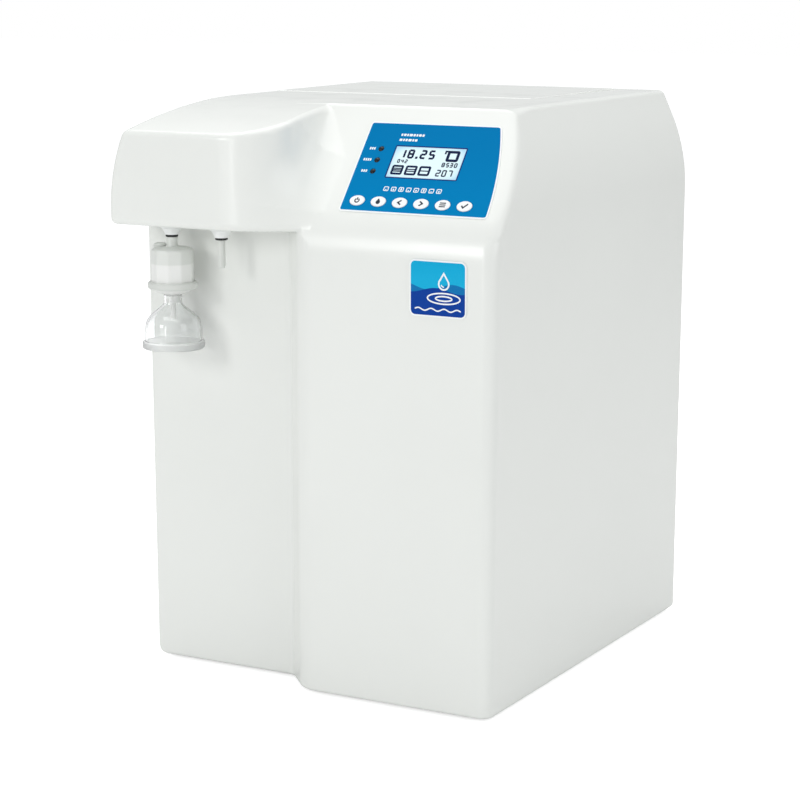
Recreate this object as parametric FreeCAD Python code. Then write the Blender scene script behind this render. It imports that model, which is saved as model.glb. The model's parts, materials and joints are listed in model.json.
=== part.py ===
"""Benchtop ultrapure water system: moulded cabinet, control panel, dispensing head,
terminal filter with bell, and the water treatment train inside.

Millimetres.  +X is to the right seen from the front, +Y points to the back, +Z is up.
The origin is on the bench under the middle of the object's outer box.
"""
import FreeCAD, Part
import math
import os

Vector = FreeCAD.Vector

# ---------------------------------------------------------------- driving dimensions
FOOT_HEIGHT = 3.0
FLOOR = 6.0                 # thickness of the moulded floor
HALF_WIDTH = 180.0          # half of the cabinet's width at the shoulder
DRAFT = 3.0                 # each side is this much narrower at the bottom
FRONT_Y = -203.0
REAR_Y = 203.0
TOP_Z = 505.0
WALL = 4.0
EDGE_R = 6.0
BOTTOM_EDGE_R = 3.5

SHOULDER_Z = 415.0          # where the side walls start to lean inwards
SHOULDER_R = 160.0
SHOULDER_LEAN = 25.0        # degrees, at the roof

SLANT_ANGLE = 50.0          # degrees from level, of the control face
SLANT_FOOT_Z = 404.0        # where the control face would meet the front
BEND_R = 50.0

HEAD_FRONT_Y = -227.0
HEAD_RIGHT_X = -20.0
HEAD_BOTTOM_Z = 402.0
HEAD_CORNER_R = 30.0
HEAD_ROOF_R = 270.0
VALLEY_R = 25.0             # hollow blend between the head and the control face
BAY_Y = -171.0              # wall behind the dispensing bay
BAY_TURN = 48.0             # degrees by which the bay's right wall turns towards the front
BAY_NOSE_X = 2.0            # where that wall would meet the front
BAY_HOLLOW_R, BAY_NOSE_R = 8.0, 18.0

LID_RAISE = 1.2
LID_GAP = 1.1
LID_FRONT_Y = 5.0
LID_REAR_Y = 188.0
LID_RIGHT_X = 112.0
LID_LOW_Z = 478.0           # lower edge of the lid on the left shoulder
HINGE_Y, HINGE_Z = 191.5, 502.5
HINGE_R = 3.0
HINGE_XS = (-110.0, 60.0)
SEAT_X = (-150.0, 122.0)
SEAT_Y = (-5.0, 186.0)
SEAT_BORDER = 10.0

OUTLET_Y = -200.5
BELL_RIM_R = 27.2
FILTER_X = -133.0
VENT_X = FILTER_X - 12.5
NOZZLE_X = -82.0
COLLAR_BOTTOM_Z = 393.4
SPIGOT_R = 3.0
NOZZLE_R = 3.25
NOZZLE_TIP_Z = 367.0
FILTER_RIBS = 10

# the panel's outline on the control face: across (X) and up the slope from its foot
PANEL_LEFT, PANEL_RIGHT, PANEL_BOTTOM, PANEL_TOP = 27.0, 165.6, 22.2, 113.8
PANEL_RIGHT_MID = (161.1, 70.4)
PANEL_TOP_RIGHT = 149.7
OVERLAY = 0.6
BACKPLATE = 2.0
LCD = (59.3, 125.8, 58.0, 89.9)
KEY_COUNT, KEY_X, KEY_PITCH, KEY_S = 6, 41.5, 20.12, 33.1
KEY_LONG, KEY_SHORT = 7.0, 5.0
LED_X, LED_S, LED_PITCH, LED_R = 45.5, 63.3, 11.5, 2.5
BOARD_DEPTH = 8.0           # top face of the display board under the control face

BADGE = (103.0, 155.3, 340.5, 387.0)

TRAY_Z = FOOT_HEIGHT + FLOOR
TRAY = 1.5
TRAY_TOP = TRAY_Z + TRAY
RACK_Z = 150.0
RACK = 2.0
ROW_REAR_Y, ROW_FRONT_Y = 150.0, 75.0
PORT_Z = 60.0
PORT_XS = {"feed": 120.0, "drain": 80.0, "tank": 40.0}
PORT_END_Y = BELL_RIM_R - OUTLET_Y      # as far back as the bell's rim is forward
PORT_INNER_Y = 190.0
PANEL_OUT_Y = 202.5         # outer face of the rear panel
PANEL_IN_Y = 201.0
SOCKET_X, SWITCH_X = -120.0, -60.0
ROCKER_REST_DEG = 8.0
ROCKER_Y, ROCKER_PIN_R = 198.5, 1.4
TUBE_R = 3.2
TUBE_BEND = 11.0

# ---------------------------------------------------------------- shape helpers


def box(x0, x1, y0, y1, z0, z1):
    """A block between two corners."""
    return Part.makeBox(x1 - x0, y1 - y0, z1 - z0, Vector(x0, y0, z0))


def rod(radius, start, end):
    """A cylinder from one point to another."""
    a, b = Vector(*start), Vector(*end)
    return Part.makeCylinder(radius, (b - a).Length, a, b - a)


def join(shapes):
    """One body out of touching or overlapping shapes."""
    return shapes[0].multiFuse(shapes[1:]).removeSplitter()


def polygon(points):
    """A flat face through corner points."""
    return Part.Face(Part.makePolygon([Vector(*p) for p in points] + [Vector(*points[0])]))


def lathe(profile, x, y):
    """Turn a closed (radius, height) outline about the upright line through x, y."""
    face = polygon([(x + r, y, z) for r, z in profile])
    return face.revolve(Vector(x, y, 0), Vector(0, 0, 1), 360)


def rounded(shape, radius, chosen):
    """Round the edges whose bounding boxes pass the test `chosen`."""
    edges = [edge for edge in shape.Edges if chosen(edge.BoundBox)]
    return shape.makeFillet(radius, edges).Solids[0]


def is_at(value, target, slack=0.4):
    """Whether a coordinate lies at a place."""
    return abs(value - target) < slack


def upright(b):
    """Whether an edge's box is tall and thin."""
    return b.ZLength > 3 and b.XLength < 1 and b.YLength < 1


def on_slope(shape):
    """Put a shape drawn flat (across, up the slope, outwards) on the control face."""
    turn = FreeCAD.Rotation(Vector(1, 0, 0), SLANT_ANGLE)
    shape.Placement = FreeCAD.Placement(Vector(0, FRONT_Y, SLANT_FOOT_Z), turn)
    return shape


def ellipse_plug(x, y, long_r, short_r, z0, z1):
    """An upright oval plug."""
    oval = Part.Ellipse(Vector(x, y, z0), long_r, short_r).toShape()
    return Part.Face(Part.Wire([oval])).extrude(Vector(0, 0, z1 - z0))


def tube(route, radius=TUBE_R, bend=TUBE_BEND):
    """A bent water tube: straight runs joined by tangent arcs."""
    points = [Vector(*p) for p in route]
    edges = []
    last = points[0]
    for before, corner, after in zip(points, points[1:], points[2:]):
        into, out = (corner - before).normalize(), (after - corner).normalize()
        half = into.getAngle(out) / 2
        setback = bend * math.tan(half)
        start, end = corner - into * setback, corner + out * setback
        inwards = (out - into).normalize()
        middle = corner + inwards * (bend / math.cos(half) - bend)
        edges += [Part.LineSegment(last, start).toShape(), Part.Arc(start, middle, end).toShape()]
        last = end
    edges.append(Part.LineSegment(last, points[-1]).toShape())
    heading = points[1] - points[0]
    ring = Part.Wire([Part.Circle(points[0], heading, radius).toShape()])
    return Part.Wire(edges).makePipeShell([ring], True, False)


# ---------------------------------------------------------------- cabinet


def side_to_side(inset=0.0):
    """The cabinet's outline seen from the front, moved inwards by `inset`."""
    half, radius, top = HALF_WIDTH - inset, SHOULDER_R - inset, TOP_Z - inset
    low = -math.atan(DRAFT / (SHOULDER_Z - FOOT_HEIGHT))
    high = math.radians(SHOULDER_LEAN)
    centre_x = half - radius * math.cos(low)
    centre_z = SHOULDER_Z - radius * math.sin(low)

    def on_arc(angle):
        return centre_x + radius * math.cos(angle), centre_z + radius * math.sin(angle)

    foot, start = (half - DRAFT, FOOT_HEIGHT), on_arc(low)
    middle, end = on_arc((low + high) / 2), on_arc(high)
    roof = (end[0] - (top - end[1]) * math.tan(high), top)
    right = [Vector(x, 0, z) for x, z in (foot, start, middle, end, roof)]
    left = [Vector(-p.x, 0, p.z) for p in right]
    edges = [Part.LineSegment(right[4], left[4]), Part.LineSegment(left[0], right[0])]
    for side in (right, left):
        edges += [Part.LineSegment(side[0], side[1]), Part.Arc(side[1], side[2], side[3]),
                  Part.LineSegment(side[3], side[4])]
    return Part.Face(Part.Wire(Part.__sortEdges__([edge.toShape() for edge in edges])))


def front_to_back(inset=0.0, rear=REAR_Y, bottom=FOOT_HEIGHT):
    """The cabinet's outline seen from the right, moved inwards by `inset`."""
    slope = math.radians(SLANT_ANGLE)
    turn = math.pi / 2 - slope
    front, top = FRONT_Y + inset, TOP_Z - inset
    foot_z = SLANT_FOOT_Z - inset * math.tan(turn / 2)
    bend = BEND_R - inset
    reach = bend * math.tan(turn / 2)
    centre = (front + bend, foot_z - reach)
    middle = math.pi - turn / 2
    corner = [(front, bottom), (front, foot_z - reach),
              (centre[0] + bend * math.cos(middle), centre[1] + bend * math.sin(middle)),
              (front + reach * math.cos(slope), foot_z + reach * math.sin(slope)),
              (front + (top - foot_z) / math.tan(slope), top), (rear, top), (rear, bottom)]
    p = [Vector(0, y, z) for y, z in corner]
    edges = [Part.LineSegment(p[0], p[1]), Part.Arc(p[1], p[2], p[3]), Part.LineSegment(p[3], p[4]),
             Part.LineSegment(p[4], p[5]), Part.LineSegment(p[5], p[6]), Part.LineSegment(p[6], p[0])]
    return Part.Face(Part.Wire([edge.toShape() for edge in edges]))


def head_outline(inset=0.0):
    """The dispensing head's outline seen from the right, moved inwards by `inset`."""
    crest_y = FRONT_Y + (TOP_Z - SLANT_FOOT_Z) / math.tan(math.radians(SLANT_ANGLE))
    front, bottom, radius = HEAD_FRONT_Y + inset, HEAD_BOTTOM_Z + inset, HEAD_ROOF_R - inset
    back = crest_y + 60

    def roof(y):
        return TOP_Z - HEAD_ROOF_R + math.sqrt(radius ** 2 - (y - crest_y) ** 2)

    middle = (front + crest_y) / 2
    p = [Vector(0, y, z) for y, z in ((front, bottom), (front, roof(front)), (middle, roof(middle)),
                                      (crest_y, roof(crest_y)), (back, roof(crest_y)), (back, bottom))]
    edges = [Part.LineSegment(p[0], p[1]), Part.Arc(p[1], p[2], p[3]), Part.LineSegment(p[3], p[4]),
             Part.LineSegment(p[4], p[5]), Part.LineSegment(p[5], p[0])]
    return Part.Face(Part.Wire([edge.toShape() for edge in edges]))


def along_depth(face, y0, y1):
    """Extrude a front outline from y0 to y1."""
    face.translate(Vector(0, y0, 0))
    return face.extrude(Vector(0, y1 - y0, 0))


def along_width(face, x0, x1):
    """Extrude a side outline from x0 to x1."""
    face.translate(Vector(x0, 0, 0))
    return face.extrude(Vector(x1 - x0, 0, 0))


def bay_outline(growth=0.0):
    """The dispensing bay's outline from above, with its turned right wall, grown by `growth`."""
    turn = math.radians(BAY_TURN)
    back, front = BAY_Y + growth, FRONT_Y + growth
    nose_x = BAY_NOSE_X + growth * math.tan(turn / 2)
    foot_x = nose_x - (back - front) / math.tan(turn)
    along, tangent = (math.cos(turn), -math.sin(turn)), math.tan(turn / 2)
    hollow, nose = BAY_HOLLOW_R + growth, BAY_NOSE_R - growth
    foot_run, nose_run = hollow * tangent, nose * tangent

    def bisected(centre_x, centre_y, radius, side):
        return (centre_x + side * radius * math.sin(turn / 2), centre_y + side * radius * math.cos(turn / 2))

    corner = [(-HALF_WIDTH - 10, FRONT_Y - 30), (-HALF_WIDTH - 10, back), (foot_x - foot_run, back),
              bisected(foot_x - foot_run, back - hollow, hollow, 1),
              (foot_x + foot_run * along[0], back + foot_run * along[1]),
              (nose_x - nose_run * along[0], front - nose_run * along[1]),
              bisected(nose_x + nose_run, front + nose, nose, -1),
              (nose_x + nose_run, front), (nose_x + nose_run, FRONT_Y - 30)]
    p = [Vector(x, y, 0) for x, y in corner]
    edges = [Part.LineSegment(p[0], p[1]), Part.LineSegment(p[1], p[2]), Part.Arc(p[2], p[3], p[4]),
             Part.LineSegment(p[4], p[5]), Part.Arc(p[5], p[6], p[7]), Part.LineSegment(p[7], p[8]),
             Part.LineSegment(p[8], p[0])]
    return Part.Face(Part.Wire([edge.toShape() for edge in edges]))


def cabinet_outside():
    """The closed outer form of the cabinet with its rounded edges."""
    envelope = along_depth(side_to_side(), HEAD_FRONT_Y - 20, REAR_Y + 20)
    column = envelope.common(along_width(front_to_back(), -HALF_WIDTH - 10, HALF_WIDTH + 10))
    head = envelope.common(along_width(head_outline(), -HALF_WIDTH - 10, HEAD_RIGHT_X))
    form = column.fuse(head).removeSplitter().Solids[0]

    def in_wall(b):
        return is_at(b.XMin, HEAD_RIGHT_X) and is_at(b.XMax, HEAD_RIGHT_X)

    form = rounded(form, HEAD_CORNER_R, lambda b: in_wall(b) and is_at(b.YMax, HEAD_FRONT_Y))
    form = rounded(form, VALLEY_R, lambda b: (in_wall(b) and b.YMin > FRONT_Y - 1
                                              and b.ZMin > HEAD_BOTTOM_Z - 20))

    def at_rear(b):
        return is_at(b.YMin, REAR_Y) and is_at(b.YMax, REAR_Y) and not is_at(b.ZMax, FOOT_HEIGHT)

    def at_right_front(b):
        return b.XMin > 150 and b.ZLength > 3 and b.YMax < -118

    def at_left_of_head(b):
        return b.XMax < -154 and b.YMax < -118 and b.ZMin > HEAD_BOTTOM_Z - 0.1 and b.ZLength > 1

    def round_the_roof(b):
        return is_at(b.ZMin, TOP_Z) and is_at(b.ZMax, TOP_Z) and (b.YLength > 300 or b.XMax > 150)

    form = rounded(form, EDGE_R, lambda b: (at_rear(b) or at_right_front(b) or at_left_of_head(b)
                                            or round_the_roof(b)))
    bay = bay_outline().extrude(Vector(0, 0, HEAD_BOTTOM_Z))
    form = form.cut(bay).removeSplitter().Solids[0]
    form = rounded(form, EDGE_R, lambda b: b.XMax < -176 and is_at(b.YMin, BAY_Y) and is_at(b.YMax, BAY_Y)
                   and b.ZLength > 300)
    return rounded(form, BOTTOM_EDGE_R, lambda b: is_at(b.ZMin, FOOT_HEIGHT) and is_at(b.ZMax, FOOT_HEIGHT))


def cabinet_inside():
    """The hollow of the cabinet, one wall thickness inside its outer form."""
    envelope = along_depth(side_to_side(WALL), HEAD_FRONT_Y, REAR_Y - WALL)
    column = along_width(front_to_back(WALL, REAR_Y - WALL, TRAY_Z), -HALF_WIDTH, HALF_WIDTH)
    column = envelope.common(column).cut(bay_outline(WALL).extrude(Vector(0, 0, HEAD_BOTTOM_Z + WALL)))
    right = HEAD_RIGHT_X - 3 * WALL
    head = envelope.common(along_width(head_outline(WALL), -HALF_WIDTH, right))
    head = rounded(head, HEAD_CORNER_R - 3 * WALL, lambda b: is_at(b.XMax, right)
                   and is_at(b.YMin, HEAD_FRONT_Y + WALL) and upright(b))
    hollow = column.fuse(head).removeSplitter().Solids[0]
    hollow = rounded(hollow, EDGE_R - WALL, lambda b: (b.XMin > 150 or b.XMax < -150) and b.ZLength > 300
                     and b.XLength < 4)
    thick_brow = box(-HALF_WIDTH, HEAD_RIGHT_X, HEAD_FRONT_Y, HEAD_FRONT_Y + 10, TOP_Z - 30, TOP_Z)
    thick_corner = box(-HALF_WIDTH, -150, HEAD_FRONT_Y, HEAD_FRONT_Y + 14, TOP_Z - 45, TOP_Z)
    return hollow.cut([thick_brow, thick_corner])


def lid_region(gap=0.0):
    """The block of space that the service lid takes out of the cabinet."""
    return box(-HALF_WIDTH - 10, LID_RIGHT_X - gap, LID_FRONT_Y + gap, LID_REAR_Y - gap,
               LID_LOW_Z + gap, TOP_Z + 20)


def hinge_notches():
    """Room for the hinge barrels in the rear strip of the roof."""
    return [box(x - 22, x + 22, LID_REAR_Y - 1, HINGE_Y + 4.5, TOP_Z - 6, TOP_Z + 5) for x in HINGE_XS]


def housing_shell():
    """Moulded cabinet: front, sides, roof, dispensing head and bottom in one."""
    shell = cabinet_outside().cut(cabinet_inside())
    cuts = [lid_region(), box(-105, 105, -95, 130, 0, 20),
            box(-156, 156, PANEL_IN_Y, REAR_Y + 5, 20, 470),
            box(-147, 147, REAR_Y - WALL - 5, REAR_Y + 5, 29, 461)]
    cuts += hinge_notches()
    cuts += [rod(6.2, (x, OUTLET_Y, HEAD_BOTTOM_Z - 5), (x, OUTLET_Y, HEAD_BOTTOM_Z + 12))
             for x in (FILTER_X, NOZZLE_X)]
    cuts += [on_slope(box(29.9, 153.1, 25.9, 98.1, -BACKPLATE, 5)),
             on_slope(box(31.5, 151.5, 24.8, 41.4, -10, 0)),
             on_slope(box(LED_X - 4.5, LED_X + 4.5, 58, 91.5, -10, 0)),
             on_slope(box(LCD[0] - 5.5, LCD[1] + 5.5, LCD[2] - 5, LCD[3] + 5, -10, 0))]
    cuts += [rod(1.7, (x, REAR_Y - 10, z), (x, REAR_Y, z)) for x, z in rear_screw_places()]
    cuts += [rod(1.7, (x, y, 0), (x, y, 12)) for x, y in TRAY_SCREWS]
    return shell.cut(cuts).Solids[0]


def top_lid():
    """Service lid over the cartridge bay, wrapped over the left shoulder."""
    above, under = TOP_Z + LID_RAISE, TOP_Z + LID_RAISE - WALL
    outside = along_depth(side_to_side(-LID_RAISE), 0, REAR_Y)
    outside = rounded(outside, EDGE_R + LID_RAISE, lambda b: b.YLength > 100 and is_at(b.ZMin, above))
    inside = along_depth(side_to_side(WALL - LID_RAISE), 0, REAR_Y)
    inside = rounded(inside, EDGE_R + LID_RAISE - WALL, lambda b: b.YLength > 100 and is_at(b.ZMin, under))
    lid = outside.cut(inside).common(lid_region(LID_GAP))
    lid = lid.Solids[0]
    lid = rounded(lid, 1.5, lambda b: is_at(b.ZMin, above) and is_at(b.ZMax, above)
                  and (b.XLength > 1 or b.XMax > 0))
    rails = [box(-134, 98, y, y + 2, under - 6, under) for y in (60, 130)]
    knuckles = []
    for x in HINGE_XS:
        arm = box(x - 9.5, x + 9.5, LID_REAR_Y - 8, HINGE_Y, HINGE_Z - 2.6, under + 0.5)
        barrel = rod(HINGE_R, (x - 9.5, HINGE_Y, HINGE_Z), (x + 9.5, HINGE_Y, HINGE_Z))
        bore = rod(1.3, (x - 12, HINGE_Y, HINGE_Z), (x + 12, HINGE_Y, HINGE_Z))
        knuckles.append(arm.fuse(barrel).cut(bore))
    return join([lid] + rails + knuckles)


def lid_hinge_brackets():
    """Fixed hinge knuckles under the roof's rear strip, each pair with its riveted pin."""
    brackets = []
    for x in HINGE_XS:
        pin = rod(1.25, (x - 20, HINGE_Y, HINGE_Z), (x + 20, HINGE_Y, HINGE_Z))
        pieces = [pin]
        for side in (-1, 1):
            x0, x1 = sorted((x + side * 10, x + side * 20))
            pieces += [rod(HINGE_R, (x0, HINGE_Y, HINGE_Z), (x1, HINGE_Y, HINGE_Z)),
                       box(x0, x1, HINGE_Y, HINGE_Y + 4.3, HINGE_Z - 7, HINGE_Z - 1)]
        pieces.append(box(x - 24, x + 24, HINGE_Y + 1, HINGE_Y + 4.3, HINGE_Z - 10.5, HINGE_Z - 3.0))
        brackets.append(join(pieces))
    return Part.makeCompound(brackets)


def lid_seat_frame():
    """Sheet frame under the roof that the closed lid lies on."""
    seat = box(*SEAT_X, *SEAT_Y, TOP_Z - WALL - 1.5, TOP_Z - WALL)
    opening = box(SEAT_X[0] + SEAT_BORDER, SEAT_X[1] - 2 * SEAT_BORDER, SEAT_Y[0] + 2 * SEAT_BORDER,
                  SEAT_Y[1] - 0.8 * SEAT_BORDER, 490, 510)
    around_hinges = [box(x - 25, x + 25, LID_REAR_Y - 9, REAR_Y, 490, 510) for x in HINGE_XS]
    return seat.cut([opening] + around_hinges).Solids[0]


def lid_gasket():
    """Foam strip between the seat frame and the lid."""
    z = TOP_Z - WALL
    outer = box(-140, LID_RIGHT_X - 4, LID_FRONT_Y + 4, 176, z, z + 1.0)
    return outer.cut(box(-136, LID_RIGHT_X - 8, LID_FRONT_Y + 8, 172, z - 1, z + 2))


# ---------------------------------------------------------------- rear, base and feet


def rear_screw_places():
    """Where the rear panel is screwed on."""
    return [(x, z) for x in (-151.5, 0, 151.5) for z in (24.5, 465.5)] + [(-151.5, 245), (151.5, 245)]


TRAY_SCREWS = [(x, y) for x in (-112, 112) for y in (-154, 140)]


def rear_panel():
    """Steel back with vents and cut-outs for the ports, inlet and switch."""
    panel = box(-155, 155, PANEL_IN_Y, PANEL_OUT_Y, 21, 469)
    through = (PANEL_IN_Y - 5, PANEL_OUT_Y + 5)
    cuts = [rod(7.8, (x, through[0], PORT_Z), (x, through[1], PORT_Z)) for x in PORT_XS.values()]
    cuts += [rod(1.7, (x, through[0], z), (x, through[1], z)) for x, z in rear_screw_places()]
    cuts += [box(SOCKET_X - 14.2, SOCKET_X + 14.2, *through, PORT_Z - 10.2, PORT_Z + 10.2),
             box(SWITCH_X - 14.7, SWITCH_X + 14.7, *through, PORT_Z - 10.7, PORT_Z + 10.7)]
    for row in range(7):
        for column in (-1, 1):
            x, z = column * 60, 340 + row * 12
            cuts.append(box(x - 28, x + 28, *through, z - 2, z + 2))
    return panel.cut(cuts).Solids[0]


def cabinet_screws():
    """Pan-head screws of the rear panel and the tray."""
    screws = [join([rod(3.0, (x, PANEL_OUT_Y, z), (x, PANEL_OUT_Y + 2, z)),
                    rod(1.5, (x, REAR_Y - 9, z), (x, PANEL_OUT_Y, z))]) for x, z in rear_screw_places()]
    screws += [join([rod(3.0, (x, y, FOOT_HEIGHT - 2), (x, y, FOOT_HEIGHT)),
                     rod(1.5, (x, y, FOOT_HEIGHT), (x, y, TRAY_TOP + 3))]) for x, y in TRAY_SCREWS]
    return Part.makeCompound(screws)


def base_tray():
    """Steel floor with a raised side that carries the electronics."""
    plate = box(-165, 166.5, -160, 190, TRAY_Z, TRAY_TOP)
    side = box(165, 166.5, -150, 20, TRAY_Z, 322)
    holes = [rod(1.7, (x, y, 0), (x, y, 20)) for x, y in TRAY_SCREWS]
    return join([plate, side]).cut(holes).Solids[0]


def rubber_feet():
    """Round feet, set well in from the edges."""
    feet = [lathe([(0, 0), (13, 0), (15, 1.5), (15, FOOT_HEIGHT), (0, FOOT_HEIGHT)], x, y)
            for x in (-130, 130) for y in (-120, 155)]
    return Part.makeCompound(feet)


def rear_ports():
    """Push-fit bulkhead ports for quarter-inch tube."""
    ports = []
    for x in PORT_XS.values():
        body = join([rod(7.5, (x, PORT_INNER_Y, PORT_Z), (x, 219, PORT_Z)),
                     rod(10.5, (x, PANEL_OUT_Y, PORT_Z), (x, 206, PORT_Z)),
                     rod(6.0, (x, 219, PORT_Z), (x, 223.5, PORT_Z)),
                     rod(7.0, (x, 223.5, PORT_Z), (x, PORT_END_Y, PORT_Z))])
        mouth = rod(3.25, (x, 207, PORT_Z), (x, PORT_END_Y, PORT_Z))
        duct = rod(2.0, (x, PORT_INNER_Y, PORT_Z), (x, 207, PORT_Z))
        ports.append(body.cut([mouth, duct]))
    return Part.makeCompound(ports)


def hexagon(across, x, y, z, axis):
    """A hexagon face centred at a point, facing along an axis."""
    corners = []
    for k in range(7):
        angle = math.radians(60 * k)
        u, v = across / math.sqrt(3) * math.cos(angle), across / math.sqrt(3) * math.sin(angle)
        corners.append(Vector(x + u, y, z + v) if axis == "y" else Vector(x + u, y + v, z))
    return Part.Face(Part.makePolygon(corners))


def port_nuts():
    """Lock nuts of the rear ports and of the two water outlets."""
    nuts = []
    for x in PORT_XS.values():
        blank = hexagon(19, x, PANEL_IN_Y - 5, PORT_Z, "y").extrude(Vector(0, 5, 0))
        nuts.append(blank.cut(rod(7.5, (x, 190, PORT_Z), (x, 205, PORT_Z))))
    for x in (FILTER_X, NOZZLE_X):
        z = HEAD_BOTTOM_Z + WALL
        blank = hexagon(17, x, OUTLET_Y, z, "z").extrude(Vector(0, 0, 4))
        nuts.append(blank.cut(rod(6.0, (x, OUTLET_Y, z - 1), (x, OUTLET_Y, z + 6))))
    return Part.makeCompound(nuts)


def power_inlet():
    """Three-pin appliance inlet."""
    flange = box(SOCKET_X - 25, SOCKET_X + 25, PANEL_OUT_Y, 205.5, PORT_Z - 13, PORT_Z + 13)
    flange = rounded(flange, 5, lambda b: b.YLength > 2.5 and b.XLength < 0.1 and b.ZLength < 0.1)
    body = box(SOCKET_X - 14, SOCKET_X + 14, 182, 205.5, PORT_Z - 10, PORT_Z + 10)
    hollow = box(SOCKET_X - 12, SOCKET_X + 12, 187, 206, PORT_Z - 8, PORT_Z + 8)
    hollow = rounded(hollow, 3, lambda b: b.YLength > 10)
    pins = [box(SOCKET_X + dx - 1, SOCKET_X + dx + 1, 186, 199, PORT_Z + dz - 2, PORT_Z + dz + 2)
            for dx, dz in ((-7, -1.5), (0, 1.5), (7, -1.5))]
    return join([join([flange, body]).cut(hollow)] + pins)


def switch_frame():
    """Snap-in frame of the power switch."""
    flange = box(SWITCH_X - 17, SWITCH_X + 17, PANEL_OUT_Y, 204, PORT_Z - 13, PORT_Z + 13)
    body = box(SWITCH_X - 14.5, SWITCH_X + 14.5, 180, 204, PORT_Z - 10.5, PORT_Z + 10.5)
    hollow = box(SWITCH_X - 13.3, SWITCH_X + 13.3, 190, 206, PORT_Z - 9, PORT_Z + 9)
    pivot = rod(ROCKER_PIN_R + 0.06, (SWITCH_X, ROCKER_Y, PORT_Z - 11), (SWITCH_X, ROCKER_Y, PORT_Z + 11))
    return join([flange, body]).cut([hollow, pivot])


def power_rocker():
    """Rocker of the power switch, resting in its OFF position."""
    outline = [(-11.5, -3), (11.5, -3), (11.5, 4.6), (0, 6), (-11.5, 4.6)]
    face = polygon([(SWITCH_X + dx, ROCKER_Y + dy, PORT_Z - 8.4) for dx, dy in outline])
    pin = rod(ROCKER_PIN_R, (SWITCH_X, ROCKER_Y, PORT_Z - 10.2), (SWITCH_X, ROCKER_Y, PORT_Z + 10.2))
    rocker = join([face.extrude(Vector(0, 0, 16.8)), pin])
    rocker.rotate(Vector(SWITCH_X, ROCKER_Y, PORT_Z), Vector(0, 0, 1), ROCKER_REST_DEG)
    return rocker


# ---------------------------------------------------------------- control panel


def panel_outline(z0, z1):
    """The overlay's outline with its curved right edge, as a flat plate."""
    corners = [(PANEL_LEFT, PANEL_BOTTOM), (PANEL_RIGHT, PANEL_BOTTOM), PANEL_RIGHT_MID,
               (PANEL_TOP_RIGHT, PANEL_TOP), (PANEL_LEFT, PANEL_TOP)]
    p = [Vector(x, s, z0) for x, s in corners]
    edges = [Part.LineSegment(p[0], p[1]), Part.Arc(p[1], p[2], p[3]),
             Part.LineSegment(p[3], p[4]), Part.LineSegment(p[4], p[0])]
    plate = Part.Face(Part.Wire([edge.toShape() for edge in edges])).extrude(Vector(0, 0, z1 - z0))
    return rounded(plate, 3, upright_thin)


def upright_thin(b):
    """Whether an edge's box is a short upright line."""
    return b.XLength < 0.01 and b.YLength < 0.01


def key_places():
    """Centres of the keys across and up the slope."""
    return [(KEY_X + KEY_PITCH * k, KEY_S) for k in range(KEY_COUNT)]


def led_places():
    """Centres of the indicator lights."""
    return [(LED_X, LED_S + LED_PITCH * k) for k in range(3)]


def key_holes(z0, z1):
    """Oval holes around the keys."""
    return [ellipse_plug(x, s, KEY_LONG + 0.3, KEY_SHORT + 0.3, z0, z1) for x, s in key_places()]


def led_holes(z0, z1):
    """Round holes around the indicator lights."""
    return [rod(LED_R + 0.2, (x, s, z0), (x, s, z1)) for x, s in led_places()]


def panel_overlay():
    """Printed plastic overlay of the control panel."""
    plate = panel_outline(0, OVERLAY)
    window = box(LCD[0], LCD[1], LCD[2], LCD[3], -1, 2)
    return on_slope(plate.cut([window] + key_holes(-1, 2) + led_holes(-1, 2)))


def panel_backplate():
    """Stiff plate behind the overlay that guides the keys."""
    plate = box(30, 153, 26, 98, -BACKPLATE, 0)
    window = box(LCD[0] + 2.5, LCD[1] - 2.5, LCD[2] + 2.5, LCD[3] - 2.5, -5, 2)
    plate = plate.cut([window] + key_holes(-5, 2) + led_holes(-5, 2))
    return on_slope(plate.Solids[0])


def lcd_window():
    """Clear window over the display."""
    return on_slope(box(LCD[0] + 0.1, LCD[1] - 0.1, LCD[2] + 0.1, LCD[3] - 0.1, 0, OVERLAY))


def lcd_module():
    """Graphic display with its bezel."""
    can = box(LCD[0] - 4, LCD[1] + 4, LCD[2] - 4, LCD[3] + 4, 0.1 - BOARD_DEPTH, -BACKPLATE - 0.1)
    glass = box(LCD[0] + 2.8, LCD[1] - 2.8, LCD[2] + 2.8, LCD[3] - 2.8, -BACKPLATE - 0.2, -0.1)
    return on_slope(can.fuse(glass))


def display_board():
    """Circuit board behind the panel with one tactile switch under each key."""
    board = box(28, 150, 22, 112, -BOARD_DEPTH - 1.6, -BOARD_DEPTH)
    switches = [box(x - 3, x + 3, s - 3, s + 3, -BOARD_DEPTH, -4.2) for x, s in key_places()]
    return on_slope(join([board] + switches))


def board_standoffs():
    """Spacers that hold the display board under the control face."""
    posts = [rod(3, (x, s, -BOARD_DEPTH), (x, s, -WALL)) for x in (34.5, 142) for s in (47, 103)]
    return Part.makeCompound([on_slope(post) for post in posts])


def indicator_lights():
    """Domed indicator lenses standing on the display board."""
    lights = []
    for x, s in led_places():
        stem = rod(LED_R, (x, s, -BOARD_DEPTH), (x, s, 0.3))
        dome = Part.makeSphere(LED_R * 1.35, Vector(x, s, -1.95)).common(rod(LED_R, (x, s, 0.3), (x, s, 3)))
        lights.append(on_slope(stem.fuse(dome).removeSplitter()))
    return Part.makeCompound(lights)


def panel_key(index):
    """One oval key with the flange that keeps it behind the backplate."""
    x, s = key_places()[index]
    cap = ellipse_plug(x, s, KEY_LONG, KEY_SHORT, -3.0, 1.1)
    cap = cap.makeFillet(0.35, [edge for edge in cap.Edges if edge.BoundBox.ZMin > 1.0])
    flange = ellipse_plug(x, s, KEY_LONG + 1.2, KEY_SHORT + 1.2, -3.0, -2.3)
    return on_slope(cap.fuse(flange).removeSplitter())


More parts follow.
